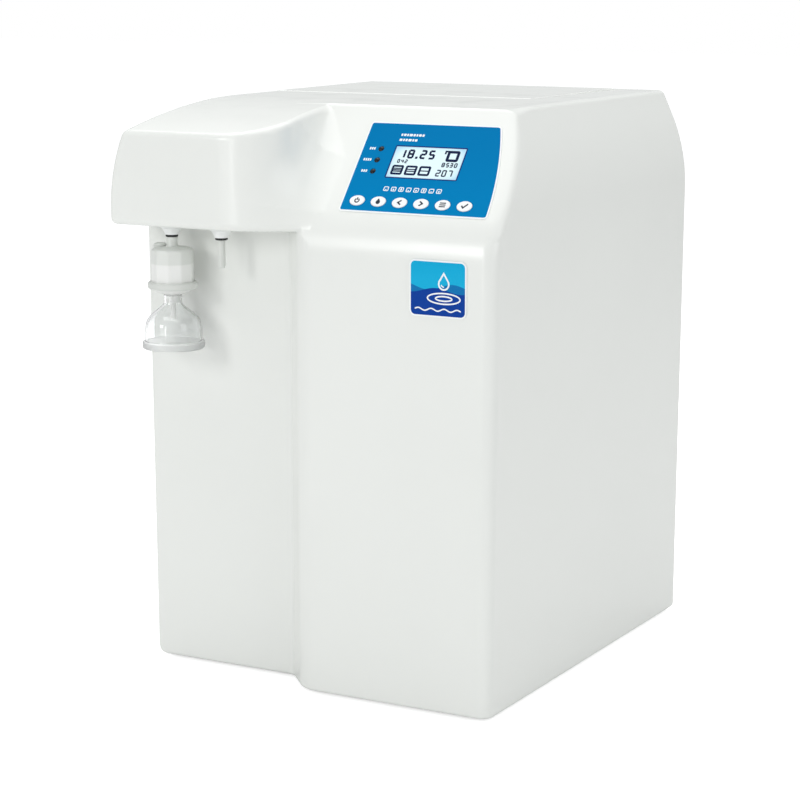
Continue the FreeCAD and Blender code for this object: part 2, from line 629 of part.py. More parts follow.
def badge_plate():
    """Rounded decorative plate on the front."""
    x0, x1, z0, z1 = BADGE
    plate = box(x0, x1, FRONT_Y - 0.8, FRONT_Y, z0, z1)
    return rounded(plate, 5, lambda b: b.XLength < 0.01 and b.ZLength < 0.01)


# ---------------------------------------------------------------- water outlets and filter


def outlet_collars():
    """Flared collars with threaded shanks through the head's floor."""
    collars = []
    for x in (FILTER_X, NOZZLE_X):
        top = HEAD_BOTTOM_Z
        form = lathe([(0, COLLAR_BOTTOM_Z), (5.8, COLLAR_BOTTOM_Z), (6.4, COLLAR_BOTTOM_Z + 1.6),
                      (8.6, top - 3.2), (11.6, top - 1.0), (11.9, top - 0.4), (11.9, top), (6.0, top),
                      (6.0, top + 11), (0, top + 11)], x, OUTLET_Y)
        collars.append(form.cut(rod(3.3, (x, OUTLET_Y, 380), (x, OUTLET_Y, 420))))
    return Part.makeCompound(collars)


def outlet_orings():
    """Black sealing rings under the collars."""
    z = COLLAR_BOTTOM_Z
    section = [(3.4, z - 2), (4.9, z - 2), (5.4, z - 1.5), (5.4, z - 0.5), (4.9, z), (3.4, z)]
    return Part.makeCompound([lathe(section, x, OUTLET_Y) for x in (FILTER_X, NOZZLE_X)])


def outlet_spigot():
    """Stepped tube that the terminal filter pushes onto."""
    return lathe([(1.4, 374), (2.6, 374), (SPIGOT_R, 375.5), (SPIGOT_R, 412), (1.4, 412)], FILTER_X, OUTLET_Y)


def dispense_nozzle():
    """Plain water outlet: a short translucent tube with a rounded tip."""
    return lathe([(1.8, NOZZLE_TIP_Z), (2.3, NOZZLE_TIP_Z), (2.9, NOZZLE_TIP_Z + 0.9),
                  (NOZZLE_R, NOZZLE_TIP_Z + 2.4), (NOZZLE_R, COLLAR_BOTTOM_Z - 2.2),
                  (SPIGOT_R, COLLAR_BOTTOM_Z - 1.9), (SPIGOT_R, 412), (1.8, 412)], NOZZLE_X, OUTLET_Y)


def filter_capsule():
    """Terminal filter housing with its inlet neck, ribs, outlet boss and drip tube."""
    outside = [(0, 319), (2.5, 319), (2.5, 334), (6.0, 334), (6.0, 341), (8.5, 341.4), (13.8, 343.4),
               (17.0, 346.2), (18.0, 349), (18.0, 378.6), (17.2, 380.9), (14.5, 382.2), (6.2, 382.8),
               (4.85, 384.2), (4.85, 391.1), (0, 391.1)]
    form = lathe(outside, FILTER_X, OUTLET_Y)
    ribs = []
    for k in range(FILTER_RIBS):
        rib = box(17.3, 18.6, -0.7, 0.7, 353.0, 377.6)
        rib.rotate(Vector(0, 0, 0), Vector(0, 0, 1), 360 / FILTER_RIBS * (k + 0.5))
        rib.translate(Vector(FILTER_X, OUTLET_Y, 0))
        ribs.append(rib)
    boss = rod(4.0, (VENT_X, OUTLET_Y, 379), (VENT_X, OUTLET_Y, 383))
    form = join([form, boss] + ribs)
    chamber = lathe([(0, 346.3), (11, 346.8), (15, 349.6), (16.3, 351.6), (16.3, 377.8), (14.8, 380.0),
                     (3.3, 381.0), (3.3, 392), (0, 392)], FILTER_X, OUTLET_Y)
    drip = rod(1.3, (FILTER_X, OUTLET_Y, 318), (FILTER_X, OUTLET_Y, 347))
    vent = rod(1.0, (VENT_X, OUTLET_Y, 375), (VENT_X, OUTLET_Y, 384))
    return form.cut([chamber, drip, vent]).Solids[0]


def filter_core():
    """Pleated membrane cylinder inside the terminal filter."""
    pleats = 24
    corners = []
    for k in range(2 * pleats):
        angle = math.pi * k / pleats
        radius = 13.2 if k % 2 else 15.3
        corners.append((FILTER_X + radius * math.cos(angle), OUTLET_Y + radius * math.sin(angle), 352.5))
    core = polygon(corners).extrude(Vector(0, 0, 21))
    return core.cut(rod(8.5, (FILTER_X, OUTLET_Y, 350), (FILTER_X, OUTLET_Y, 375)))


def filter_clamp_ring():
    """Welded ring around the joint of the terminal filter's halves."""
    return lathe([(18.1, 346.4), (20.6, 346.3), (21.6, 347.4), (21.6, 351.2), (20.6, 352.4), (18.1, 352.4)],
                 FILTER_X, OUTLET_Y)


def vent_cap():
    """Small cap of the terminal filter's air vent."""
    x = VENT_X
    cap = lathe([(0, 381.0), (0.93, 381.0), (0.93, 383.2), (3.6, 383.2), (4.0, 383.6), (4.0, 384.9),
                 (3.0, 385.8), (0, 385.8)], x, OUTLET_Y)
    grips = []
    for k in range(6):
        grip = box(3.5, 4.4, -0.4, 0.4, 383.6, 384.9)
        grip.rotate(Vector(0, 0, 0), Vector(0, 0, 1), 60 * k)
        grip.translate(Vector(x, OUTLET_Y, 0))
        grips.append(grip)
    return join([cap] + grips)


def bell_profile(offset):
    """The bell's curve from its neck to its rim, moved inwards by `offset`."""
    return [(7.8 - offset, 340.6), (7.8 - offset, 333.6), (9.0 - offset, 331.7 - offset),
            (15.6 - offset * 0.7, 326.2 - offset * 0.8), (21.2 - offset * 0.7, 321.4 - offset * 0.8),
            (23.9 - offset * 0.85, 317.6 - offset * 0.5), (24.9 - offset, 312.6), (24.9 - offset, 301.4)]


def filling_bell():
    """Clear bell that keeps splashes and dust off the water stream."""
    wall = 1.5
    outer = bell_profile(0) + [(BELL_RIM_R, 299.8), (BELL_RIM_R, 294)]
    inner = [(25.7, 294), (25.7, 299.4), (23.4, 301.4)] + bell_profile(wall)[-2::-1]
    return lathe(outer + inner, FILTER_X, OUTLET_Y)


# ---------------------------------------------------------------- water treatment


CARTRIDGES = {
    "sediment_cartridge": (-6, ROW_REAR_Y, 27, 270),
    "carbon_block_cartridge": (-72, ROW_REAR_Y, 27, 270),
    "carbon_granule_cartridge": (-138, ROW_REAR_Y, 27, 270),
    "membrane_housing": (-138, ROW_FRONT_Y, 32, 330),
    "deioniser_cartridge_1": (-62, ROW_FRONT_Y, 37, 330),
    "deioniser_cartridge_2": (22, ROW_FRONT_Y, 37, 330),
}
STUB = 12.0                 # half the distance between a cartridge's two ports


def cartridge(x, y, radius, top):
    """An upright treatment cartridge with two push-fit ports on its cap."""
    low, cap = TRAY_TOP, top - 32
    body = lathe([(0, low), (radius - 6, low), (radius - 1, low + 5), (radius - 1, cap - 3),
                  (radius - 3, cap - 3), (radius - 3, cap), (radius, cap), (radius, top - 7),
                  (radius - 7, top), (0, top)], x, y)
    stubs = [rod(5.5, (x + dx, y, top - 1), (x + dx, y, top + 14)) for dx in (-STUB, STUB)]
    form = join([body] + stubs)
    ducts = [rod(1.8, (x + dx, y, top - 2), (x + dx, y, top + 15)) for dx in (-STUB, STUB)]
    return form.cut(ducts)


RACK_LEGS = [(-164, 113), (-30, 116), (48, 122), (-100, 38), (52, 34), (155, 45), (155, 150)]


def cartridge_rack():
    """Sheet shelf on posts that steadies the cartridges and carries the small parts."""
    plate = box(-169, 160, 32, 162, RACK_Z, RACK_Z + RACK)
    holes = [rod(radius - 0.4, (x, y, RACK_Z - 1), (x, y, RACK_Z + 5))
             for x, y, radius, _ in CARTRIDGES.values()]
    plate = plate.cut(holes)
    legs = [rod(4, (x, y, TRAY_TOP), (x, y, RACK_Z)) for x, y in RACK_LEGS]
    return join([plate] + legs)


PUMP_X, PUMP_Z, PUMP_R = 110.0, 52.0, 31.0


def booster_pump_motor():
    """Motor of the diaphragm pump that feeds the membrane."""
    can = rod(PUMP_R, (PUMP_X, 62, PUMP_Z), (PUMP_X, 146, PUMP_Z))
    boss = rod(9, (PUMP_X, 146, PUMP_Z), (PUMP_X, 150, PUMP_Z))
    return join([can, boss])


def booster_pump_head():
    """Pump head with its two ports."""
    block = box(PUMP_X - 32, PUMP_X + 32, 18, 62, PUMP_Z - 30, PUMP_Z + 30)
    block = rounded(block, 6, lambda b: b.YLength > 40 and b.XLength < 0.1)
    ports = [rod(6, (PUMP_X + dx, 39, PUMP_Z + 29), (PUMP_X + dx, 39, 96)) for dx in (-15, 15)]
    ducts = [rod(2, (PUMP_X + dx, 39, PUMP_Z + 28), (PUMP_X + dx, 39, 97)) for dx in (-15, 15)]
    return join([block] + ports).cut(ducts)


def pump_cradle():
    """Saddle and soft mounts under the booster pump."""
    plate = box(PUMP_X - 34, PUMP_X + 34, 64, 146, 16.5, 18.5)
    saddle = box(PUMP_X - 20, PUMP_X + 20, 74, 136, 18.5, 32).cut(
        rod(PUMP_R, (PUMP_X, 60, PUMP_Z), (PUMP_X, 150, PUMP_Z)))
    mounts = [rod(6, (PUMP_X + dx, y, TRAY_TOP), (PUMP_X + dx, y, 16.5))
              for dx in (-26, 26) for y in (74, 136)]
    return join([plate, saddle] + mounts)


def circulation_pump():
    """Small pump that keeps the polished water moving."""
    x, y = 110, -30
    motor = rod(20, (x, y, TRAY_TOP), (x, y, 75))
    head = rod(24, (x, y, 75.2), (x, y, 105))
    ports = [rod(5, (x + dx, y, 104), (x + dx, y, 115)) for dx in (-10, 10)]
    ducts = [rod(1.8, (x + dx, y, 103), (x + dx, y, 116)) for dx in (-10, 10)]
    return Part.makeCompound([motor, join([head] + ports).cut(ducts)])


def solenoid_valve(x, y, z, inlet, outlet):
    """A two-way valve: plastic body, coil and two stubs in given directions."""
    body = box(x - 12, x + 12, y - 10, y + 10, z, z + 22)
    coil = rounded(box(x - 11, x + 11, y - 13, y + 13, z + 22, z + 50), 3, upright)
    stubs = []
    for dx, dy in (inlet, outlet):
        start = (x + dx * 11, y + dy * 9, z + 12)
        end = (x + dx * 18, y + dy * 16, z + 12)
        stubs.append(rod(5, start, end))
    return join([body, coil] + stubs)


INLET_VALVE = (120.0, 134.0, RACK_Z + RACK)
FLUSH_VALVE = (138.0, 92.0, RACK_Z + RACK)
DISPENSE_VALVE_Y, DISPENSE_VALVE_Z = -200.0, 414.0


def inlet_valve():
    """Valve that lets tap water in."""
    return solenoid_valve(*INLET_VALVE, (0, 1), (-1, 0))


def flush_valve():
    """Valve that flushes the membrane to the drain."""
    return solenoid_valve(*FLUSH_VALVE, (0, -1), (-1, 0))


def dispense_valves():
    """Valves over the two water outlets in the head."""
    return Part.makeCompound([solenoid_valve(x, DISPENSE_VALVE_Y, DISPENSE_VALVE_Z, (0, 1), (0, 1))
                              for x in (FILTER_X, NOZZLE_X)])


def pressure_switches():
    """Low and high pressure switches on the rack."""
    switches = []
    for x in (84, 108):
        z = RACK_Z + RACK
        switches.append(lathe([(0, z), (10, z), (10, z + 16), (7, z + 18), (7, z + 30), (0, z + 30)], x, 58))
    return Part.makeCompound(switches)


def conductivity_cells():
    """Cells that measure the water before and after polishing."""
    cells = []
    for x in (84, 108):
        z = RACK_Z + RACK
        cells.append(lathe([(0, z), (8, z), (8, z + 26), (4, z + 30), (4, z + 44), (0, z + 44)], x, 98))
    return Part.makeCompound(cells)


def power_supply():
    """Enclosed mains power supply."""
    case = box(46, 146, -147, -60, TRAY_TOP, 62)
    vents = [box(56 + 9 * k, 60 + 9 * k, -134, -74, 60.8, 63) for k in range(9)]
    return case.cut(vents)


def main_board():
    """Main controller on its standoffs."""
    face = 165.0
    board = box(face - 8.6, face - 7, -140, 5, 205, 312)
    posts = [rod(3, (face - 7, y, z), (face, y, z)) for y in (-134, -1) for z in (211, 306)]
    relays = [box(face - 26, face - 8.6, -132 + 22 * k, -116 + 22 * k, 285, 300) for k in range(5)]
    blocks = [box(face - 20, face - 8.6, -120, -20, 209, 219), box(face - 22, face - 8.6, -60, -35, 240, 262),
              box(face - 12, face - 8.6, -110, -85, 240, 265)]
    return join([board] + posts + relays + blocks)


# ---------------------------------------------------------------- water tubes


def feed_tube():
    """From the tap water port to the inlet valve."""
    x, y, z = INLET_VALVE
    return tube([(x, PORT_INNER_Y, PORT_Z), (x, 174, PORT_Z), (x, 174, z + 12), (x, y + 16, z + 12)])


def hoop(x0, x1, y, top, rise=24):
    """A tube from one cartridge port over to the next."""
    base = top + 14
    return tube([(x0, y, base), (x0, y, base + rise), (x1, y, base + rise), (x1, y, base)])


def prefilter_tubes():
    """From the inlet valve through the three prefilters."""
    x, y, z = INLET_VALVE
    sediment, block, granule = (CARTRIDGES[n] for n in (
        "sediment_cartridge", "carbon_block_cartridge", "carbon_granule_cartridge"))
    top = sediment[3]
    first = tube([(x - 18, y, z + 12), (80, y, z + 12), (80, y, top + 42),
                  (sediment[0] + STUB, ROW_REAR_Y, top + 42), (sediment[0] + STUB, ROW_REAR_Y, top + 14)])
    return Part.makeCompound([first, hoop(sediment[0] - STUB, block[0] + STUB, ROW_REAR_Y, top),
                              hoop(block[0] - STUB, granule[0] + STUB, ROW_REAR_Y, top)])


def pump_tubes():
    """From the last prefilter down to the pump, and from the pump up to the membrane."""
    granule, membrane = CARTRIDGES["carbon_granule_cartridge"], CARTRIDGES["membrane_housing"]
    x, top, back = granule[0] - STUB, granule[3] + 14, 186
    suction = tube([(x, ROW_REAR_Y, top), (x, ROW_REAR_Y, top + 24), (x, back, top + 24), (x, back, 112),
                    (69, back, 112), (69, 39, 122), (PUMP_X - 15, 39, 122), (PUMP_X - 15, 39, 96)])
    x, top, rise = membrane[0] - STUB, membrane[3] + 14, 24
    pressure = tube([(PUMP_X + 15, 39, 96), (PUMP_X + 15, 39, 122), (PUMP_X + 15, 14, 122),
                     (PUMP_X + 15, 14, top + rise), (x, 14, top + rise), (x, ROW_FRONT_Y, top + rise),
                     (x, ROW_FRONT_Y, top)])
    return Part.makeCompound([suction, pressure])


def product_tubes():
    """From the membrane through the two deionisers."""
    membrane, first, second = (CARTRIDGES[n] for n in (
        "membrane_housing", "deioniser_cartridge_1", "deioniser_cartridge_2"))
    return Part.makeCompound([hoop(membrane[0] + STUB, first[0] - STUB, ROW_FRONT_Y, first[3]),
                              hoop(first[0] + STUB, second[0] - STUB, ROW_FRONT_Y, first[3])])


def dispense_tubes():
    """From the last deioniser and the circulation pump to the valves in the head."""
    x, _, _, top = CARTRIDGES["deioniser_cartridge_2"]
    start = x + STUB
    level, valve_z, valve_y = top + 52, DISPENSE_VALVE_Z + 12, DISPENSE_VALVE_Y + 16
    pure = tube([(start, ROW_FRONT_Y, top + 14), (start, ROW_FRONT_Y, level), (start, -125, level),
                 (FILTER_X, -125, level), (FILTER_X, -125, valve_z), (FILTER_X, valve_y, valve_z)])
    plain = tube([(120, -30, 115), (120, -30, 150), (120, -105, 150), (NOZZLE_X, -105, 150),
                  (NOZZLE_X, -105, valve_z), (NOZZLE_X, valve_y, valve_z)])
    return Part.makeCompound([pure, plain])


# ---------------------------------------------------------------- all nodes

NODES = [
    housing_shell, top_lid, lid_hinge_brackets, lid_seat_frame, lid_gasket, rear_panel,
    cabinet_screws, base_tray, rubber_feet, rear_ports, port_nuts, power_inlet, switch_frame,
    power_rocker, panel_overlay, panel_backplate, lcd_window, lcd_module, display_board,
    board_standoffs, indicator_lights, badge_plate, outlet_collars, outlet_orings, outlet_spigot,
    dispense_nozzle, filter_capsule, filter_core, filter_clamp_ring, vent_cap, filling_bell,
    cartridge_rack, booster_pump_motor, booster_pump_head, pump_cradle, circulation_pump, inlet_valve,
    flush_valve, dispense_valves, pressure_switches, conductivity_cells, power_supply, main_board,
    feed_tube, prefilter_tubes, pump_tubes, product_tubes, dispense_tubes,
]


def save(name, shape):
    """Write one node and say what it is made of."""
    shape.exportStep(f"parts/{name}.step")
    print(f"{name:26s} solids {len(shape.Solids):2d}  valid {shape.isValid()}  volume {shape.Volume:12.1f}")


def main():
    """Build every node."""
    os.makedirs("parts", exist_ok=True)
    for make in NODES:
        save(make.__name__, make())
    for name, (x, y, radius, top) in CARTRIDGES.items():
        save(name, cartridge(x, y, radius, top))
    for index in range(KEY_COUNT):
        save(f"panel_key_{index + 1}", panel_key(index))


main()
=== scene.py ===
"""Looks of the benchtop ultrapure water system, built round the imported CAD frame.

Metres.  +X is to the right seen from the front, +Y points to the back, +Z is up.
"""
import json
import logging
import math
from dataclasses import dataclass, field
from enum import Enum
from typing import Any, Callable, Iterable, Mapping, Optional, Sequence, Union

import bmesh
import bpy
import numpy as np
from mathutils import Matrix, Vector


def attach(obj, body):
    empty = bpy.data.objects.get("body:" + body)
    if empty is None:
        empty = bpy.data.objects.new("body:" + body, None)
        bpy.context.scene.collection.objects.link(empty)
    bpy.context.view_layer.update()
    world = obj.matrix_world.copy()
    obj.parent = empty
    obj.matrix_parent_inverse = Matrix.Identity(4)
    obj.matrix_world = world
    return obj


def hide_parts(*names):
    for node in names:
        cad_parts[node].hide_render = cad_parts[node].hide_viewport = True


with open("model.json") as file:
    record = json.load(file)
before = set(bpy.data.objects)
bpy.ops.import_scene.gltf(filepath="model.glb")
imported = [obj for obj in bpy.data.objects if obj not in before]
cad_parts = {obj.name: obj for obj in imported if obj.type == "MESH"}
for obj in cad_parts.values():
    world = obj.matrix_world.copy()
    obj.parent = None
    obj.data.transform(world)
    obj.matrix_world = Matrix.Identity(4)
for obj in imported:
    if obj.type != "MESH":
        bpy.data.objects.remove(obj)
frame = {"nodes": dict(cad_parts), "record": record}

LOG = logging.getLogger("water_system")
MM = 0.001
SLANT = math.radians(50)
Colour = tuple[float, float, float]
Point = tuple[float, float, float]
Spot = tuple[float, float]
Box = tuple[float, float, float, float]
Socket = bpy.types.NodeSocket
Thing = bpy.types.Object
Array = np.ndarray
Values = dict[str, Any]


def tone(red: int, green: int, blue: int) -> Colour:
    """The linear light of a colour written as screen values from 0 to 255."""
    shares = [value / 255 for value in (red, green, blue)]
    return tuple(s / 12.92 if s <= 0.04045 else ((s + 0.055) / 1.055) ** 2.4 for s in shares)


# ---------------------------------------------------------------- node trees


def maths_method(operation: str, turned: bool = False) -> Callable[..., "Flow"]:
    """Make a method that adds one Math node.

    Args:
        operation: What the node does.
        turned: Whether the other number comes first.

    Returns:
        The method.
    """
    def method(flow: "Flow", *others: "Number") -> "Flow":
        """Work on this number, and on another where the operation takes two."""
        values = (flow, *others)
        return flow.graph.maths(operation, *(values[::-1] if turned else values))
    return method


class Flow:
    """A number running through a node tree, worked on with Python's own operators."""

    def __init__(self, graph: "Graph", socket: Socket) -> None:
        """Wrap an output socket of a graph."""
        self.graph, self.socket = graph, socket

    __add__ = __radd__ = maths_method("ADD")
    __mul__ = __rmul__ = maths_method("MULTIPLY")
    __sub__, __rsub__ = maths_method("SUBTRACT"), maths_method("SUBTRACT", turned=True)
    __truediv__, __pow__ = maths_method("DIVIDE"), maths_method("POWER")
    __gt__ = maths_method("GREATER_THAN")
    sine = maths_method("SINE")

    def ramp(self, low: float, high: float) -> "Flow":
        """Go smoothly from 0 at `low` to 1 at `high`."""
        node = self.graph.add("ShaderNodeMapRange", {"interpolation_type": "SMOOTHSTEP"},
                              {"Value": self, "From Min": low, "From Max": high})
        return Flow(self.graph, node.outputs["Result"])


Number = Union[Flow, float]


class Graph:
    """Makes the nodes of one tree."""

    def __init__(self, tree: bpy.types.NodeTree) -> None:
        """Start on an empty tree."""
        self.tree = tree
        tree.nodes.clear()

    def add(self, kind: str, settings: Optional[Mapping[str, Any]] = None,
            sockets: Optional[Mapping[Union[str, int], Any]] = None) -> bpy.types.Node:
        """Make a node.

        Args:
            kind: The node's type.
            settings: Its own properties, set first.
            sockets: Values or links for its inputs, by name or number.

        Returns:
            The node.
        """
        node = self.tree.nodes.new(kind)
        for key, value in (settings or {}).items():
            setattr(node, key, value)
        for key, value in (sockets or {}).items():
            self.feed(node.inputs[key], value)
        return node

    def feed(self, socket: Socket, value: Any) -> None:
        """Link a flow or socket into an input, or write a plain value on it.

        Args:
            socket: The input.
            value: What it gets; a colour may leave out its alpha.
        """
        value = value.socket if isinstance(value, Flow) else value
        if isinstance(value, Socket):
            self.tree.links.new(value, socket)
        elif hasattr(value, "__len__") and not isinstance(value, str):
            socket.default_value = tuple(value) + (1.0,) * (len(socket.default_value) - len(value))
        else:
            socket.default_value = value

    def maths(self, operation: str, *values: Number) -> Flow:
        """Add a Math node."""
        node = self.add("ShaderNodeMath", {"operation": operation}, dict(enumerate(values)))
        return Flow(self, node.outputs[0])

    def places(self) -> Socket:
        """The point on the surface, in the object's own coordinates."""
        return self.add("ShaderNodeTexCoord").outputs["Object"]

    def axes(self, point: Socket) -> tuple[Flow, Flow, Flow]:
        """Split a vector into its three numbers."""
        node = self.add("ShaderNodeSeparateXYZ", None, {0: point})
        return tuple(Flow(self, out) for out in node.outputs)

    def height(self) -> Flow:
        """How high the point on the surface is."""
        return self.axes(self.places())[2]

    def mapped(self, scale: Point, move: Point = (0, 0, 0)) -> Socket:
        """Object coordinates stretched and moved for a pattern."""
        return self.add("ShaderNodeMapping", None, {"Vector": self.places(), "Scale": scale,
                                                    "Location": move}).outputs[0]

    def noise(self, scale: float, detail: float, vector: Optional[Socket] = None) -> Flow:
        """Soft noise from 0 to 1, with `scale` features to the metre and `detail` finer layers."""
        node = self.add("ShaderNodeTexNoise", None,
                        {"Vector": vector or self.places(), "Scale": scale, "Detail": detail})
        return Flow(self, node.outputs["Fac"])

    def cells(self, settings: Mapping[str, Any], sockets: Mapping[str, Any]) -> bpy.types.Node:
        """A cell pattern on the object's own coordinates."""
        return self.add("ShaderNodeTexVoronoi", settings, {"Vector": self.places(), **sockets})

    def blend(self, share: Number, low: Any, high: Any) -> Socket:
        """Mix two colours: a share of 0 gives `low`, and 1 gives `high`."""
        return self.add("ShaderNodeMix", {"data_type": "RGBA"}, {0: share, 6: low, 7: high}).outputs[2]

    def bump(self, height: Flow, distance: float) -> Socket:
        """Surface relief from a height between 0 and 1 that is `distance` metres high."""
        return self.add("ShaderNodeBump", None, {"Height": height, "Distance": distance}).outputs[0]

    def seen(self) -> Flow:
        """One for rays from the camera or through clear plastic, else zero."""
        rays = self.add("ShaderNodeLightPath").outputs
        return self.maths("MAXIMUM", Flow(self, rays["Is Camera Ray"]),
                          Flow(self, rays["Is Transmission Ray"]))


# ---------------------------------------------------------------- finishes


@dataclass(frozen=True)
class Finish:
    """A surface finish: its colour, gloss and the pattern that its kind of surface shows."""

    name: str
    colour: Colour
    roughness: float = 0.4
    grain: float = 0.00003

    def shade(self, factor: float, lift: float = 0.0) -> Colour:
        """The colour made darker or lighter."""
        return tuple(min(1.0, c * factor + lift) for c in self.colour)

    def surface(self, graph: Graph, share: Number, low: Any, high: Any, wear: Number, relief: Flow,
                **constants: float) -> Values:
        """Shader values of a patterned surface.

        Args:
            graph: The material's nodes.
            share: How far the colour goes from `low` to `high`.
            low, high: Its two colours.
            wear: What the pattern adds to the roughness.
            relief: Height of the grain.
            constants: Values that are the same all over, with _ for the blanks in their names.

        Returns:
            The values, by the shader's sockets.
        """
        values = {"Base Color": graph.blend(share, low, high), "Roughness": self.roughness + wear,
                  "Normal": graph.bump(relief, self.grain)}
        return values | {name.replace("_", " "): value for name, value in constants.items()}

    def dress(self, graph: Graph) -> Values:
        """Draw the pattern that each kind of finish has.

        Args:
            graph: The material's nodes.

        Returns:
            Values and links of the shader, by its sockets.
        """
        raise NotImplementedError(self.name)

    def material(self) -> bpy.types.Material:
        """The finish as a material, made on first use.

        Returns:
            The material.
        """
        made = bpy.data.materials.get(self.name)
        if made is None:
            made = bpy.data.materials.new(self.name)
            made.use_nodes = True
            made.diffuse_color = (*self.colour, 1.0)
            graph = Graph(made.node_tree)
            shader = graph.add("ShaderNodeBsdfPrincipled", None, self.dress(graph))
            graph.add("ShaderNodeOutputMaterial", None, {"Surface": shader.outputs[0]})
        return made


@dataclass(frozen=True)
class MouldedPlastic(Finish):
    """Injection-moulded plastic: an even colour with faint flow clouds and a fine eroded grain."""

    clouds: float = 0.02
    cloud_scale: float = 7.0
    grain_scale: float = 1500.0
    specular: float = 0.5

    def dress(self, graph: Graph) -> Values:
        """Flow clouds in the colour, rubbed patches in the gloss, and eroded grain."""
        flow, grain = graph.noise(self.cloud_scale, 3.0), graph.noise(self.grain_scale, 2.0)
        rubbed = graph.noise(30.0, 4.0).ramp(0.45, 0.75)
        return self.surface(graph, flow * 0.8 + grain * 0.2, self.shade(1 - self.clouds),
                            self.shade(1 + self.clouds), 0.05 * (grain - 0.5) - 0.04 * rubbed, grain,
                            Specular_IOR_Level=self.specular)


@dataclass(frozen=True)
class SheetMetal(Finish):
    """Bare sheet metal with the fine lines of rolling."""

    rolling: Point = (25, 1800, 1800)
    spangle_scale: float = 120.0

    def dress(self, graph: Graph) -> Values:
        """Rolling lines, and the faint spangle of zinc."""
        lines = graph.noise(1.0, 3.0, graph.mapped(self.rolling))
        spangle = graph.axes(graph.cells({}, {"Scale": self.spangle_scale}).outputs["Color"])[0]
        return self.surface(graph, lines * 0.7 + spangle * 0.3, self.shade(0.82), self.colour,
                            0.12 * (lines - 0.5) + 0.05 * spangle, lines, Metallic=1.0)


@dataclass(frozen=True)
class PaintedMetal(Finish):
    """Powder-coated steel with its orange-peel skin."""

    def dress(self, graph: Graph) -> Values:
        """Orange peel and a fine speckle."""
        peel, speckle = graph.noise(420.0, 3.0), graph.noise(2600.0, 1.0).ramp(0.62, 0.75)
        return self.surface(graph, speckle * 0.6 + peel * 0.3, self.colour, self.shade(0.9),
                            0.10 * (peel - 0.5), peel)


@dataclass(frozen=True)
class Rubber(Finish):
    """Matt rubber with a dusty bloom."""

    def dress(self, graph: Graph) -> Values:
        """Bloom in the hollows of the grain."""
        grain, bloom = graph.noise(900.0, 3.0), graph.noise(45.0, 4.0).ramp(0.45, 0.8)
        return self.surface(graph, bloom * 0.5 + grain * 0.2, self.colour, self.shade(1.8, 0.02),
                            0.15 * (grain - 0.5), grain)


@dataclass(frozen=True)
class ClearPlastic(Finish):
    """See-through plastic, from clear to frosted."""

    clear: float = 1.0
    ior: float = 1.49
    haze: float = 0.05
    see_through: float = 1.0

    def dress(self, graph: Graph) -> Values:
        """Uneven haze, and drawing marks from the mould."""
        cloud, drawn = graph.noise(60.0, 3.0), graph.noise(1.0, 2.0, graph.mapped((900, 900, 30)))
        return self.surface(graph, cloud, self.shade(0.95), self.colour, self.haze * (cloud - 0.3), drawn,
                            Transmission_Weight=self.clear, IOR=self.ior, Alpha=self.see_through)


@dataclass(frozen=True)
class BellPlastic(ClearPlastic):
    """Clear moulding with painted shade along the edges where it is seen edge-on, and a thick frosted rim."""

    rim: float = 0.3006
    frosting: float = 0.42
    # painted shade: the dark colour, and the span of facing over which it is painted where the wall is seen
    # edge-on, in place of the dark refraction there
    edge: Colour = (0.25, 0.26, 0.27)
    smoke: Spot = (0.70, 0.96)

    def dress(self, graph: Graph) -> Values:
        """Frost below the rim's shoulder, and paint shade into the colour where the wall is seen edge-on."""
        values = super().dress(graph)
        frost = 1 - graph.height().ramp(self.rim - 0.0004, self.rim + 0.0004)
        facing = graph.add("ShaderNodeLayerWeight", None, {"Blend": 0.5}).outputs["Facing"]
        # painted shade: the colour darkens where the wall is seen edge-on, standing in for the dark
        # refraction of the clear wall
        grazing = Flow(graph, facing).ramp(*self.smoke) * (1 - frost)
        values["Base Color"] = graph.blend(grazing, values["Base Color"], self.edge)
        values["Roughness"] = values["Roughness"] + self.frosting * frost
        return values


@dataclass(frozen=True)
class FrostedHousing(ClearPlastic):
    """Frosted moulding that shows the pale membrane inside it."""

    inside: Colour = (0.8, 0.8, 0.8)
    inside_top: float = 0.3680

    def dress(self, graph: Graph) -> Values:
        """A paler band behind the wall as high as the membrane."""
        values = super().dress(graph)
        band = 1 - graph.height().ramp(self.inside_top - 0.0006, self.inside_top + 0.0010)
        values["Base Color"] = graph.blend(band, values["Base Color"], self.inside)
        return values


@dataclass(frozen=True)
class PrintedPanel(Finish):
    """Blue polyester overlay: printed from behind, with a velvet film in front that hardly shines."""

    deep: Colour = (0.0, 0.1, 0.4)
    heights: Spot = (0.421, 0.492)

    def dress(self, graph: Graph) -> Values:
        """A blue that deepens up the slope, under a velvet grain."""
        climb = graph.height().ramp(*self.heights)
        velvet, ink = graph.noise(2400.0, 2.0), graph.noise(16.0, 2.0)
        return self.surface(graph, climb * 0.85 + ink * 0.15, self.colour, self.deep,
                            0.08 * (velvet - 0.5), velvet, Specular_IOR_Level=0.02)


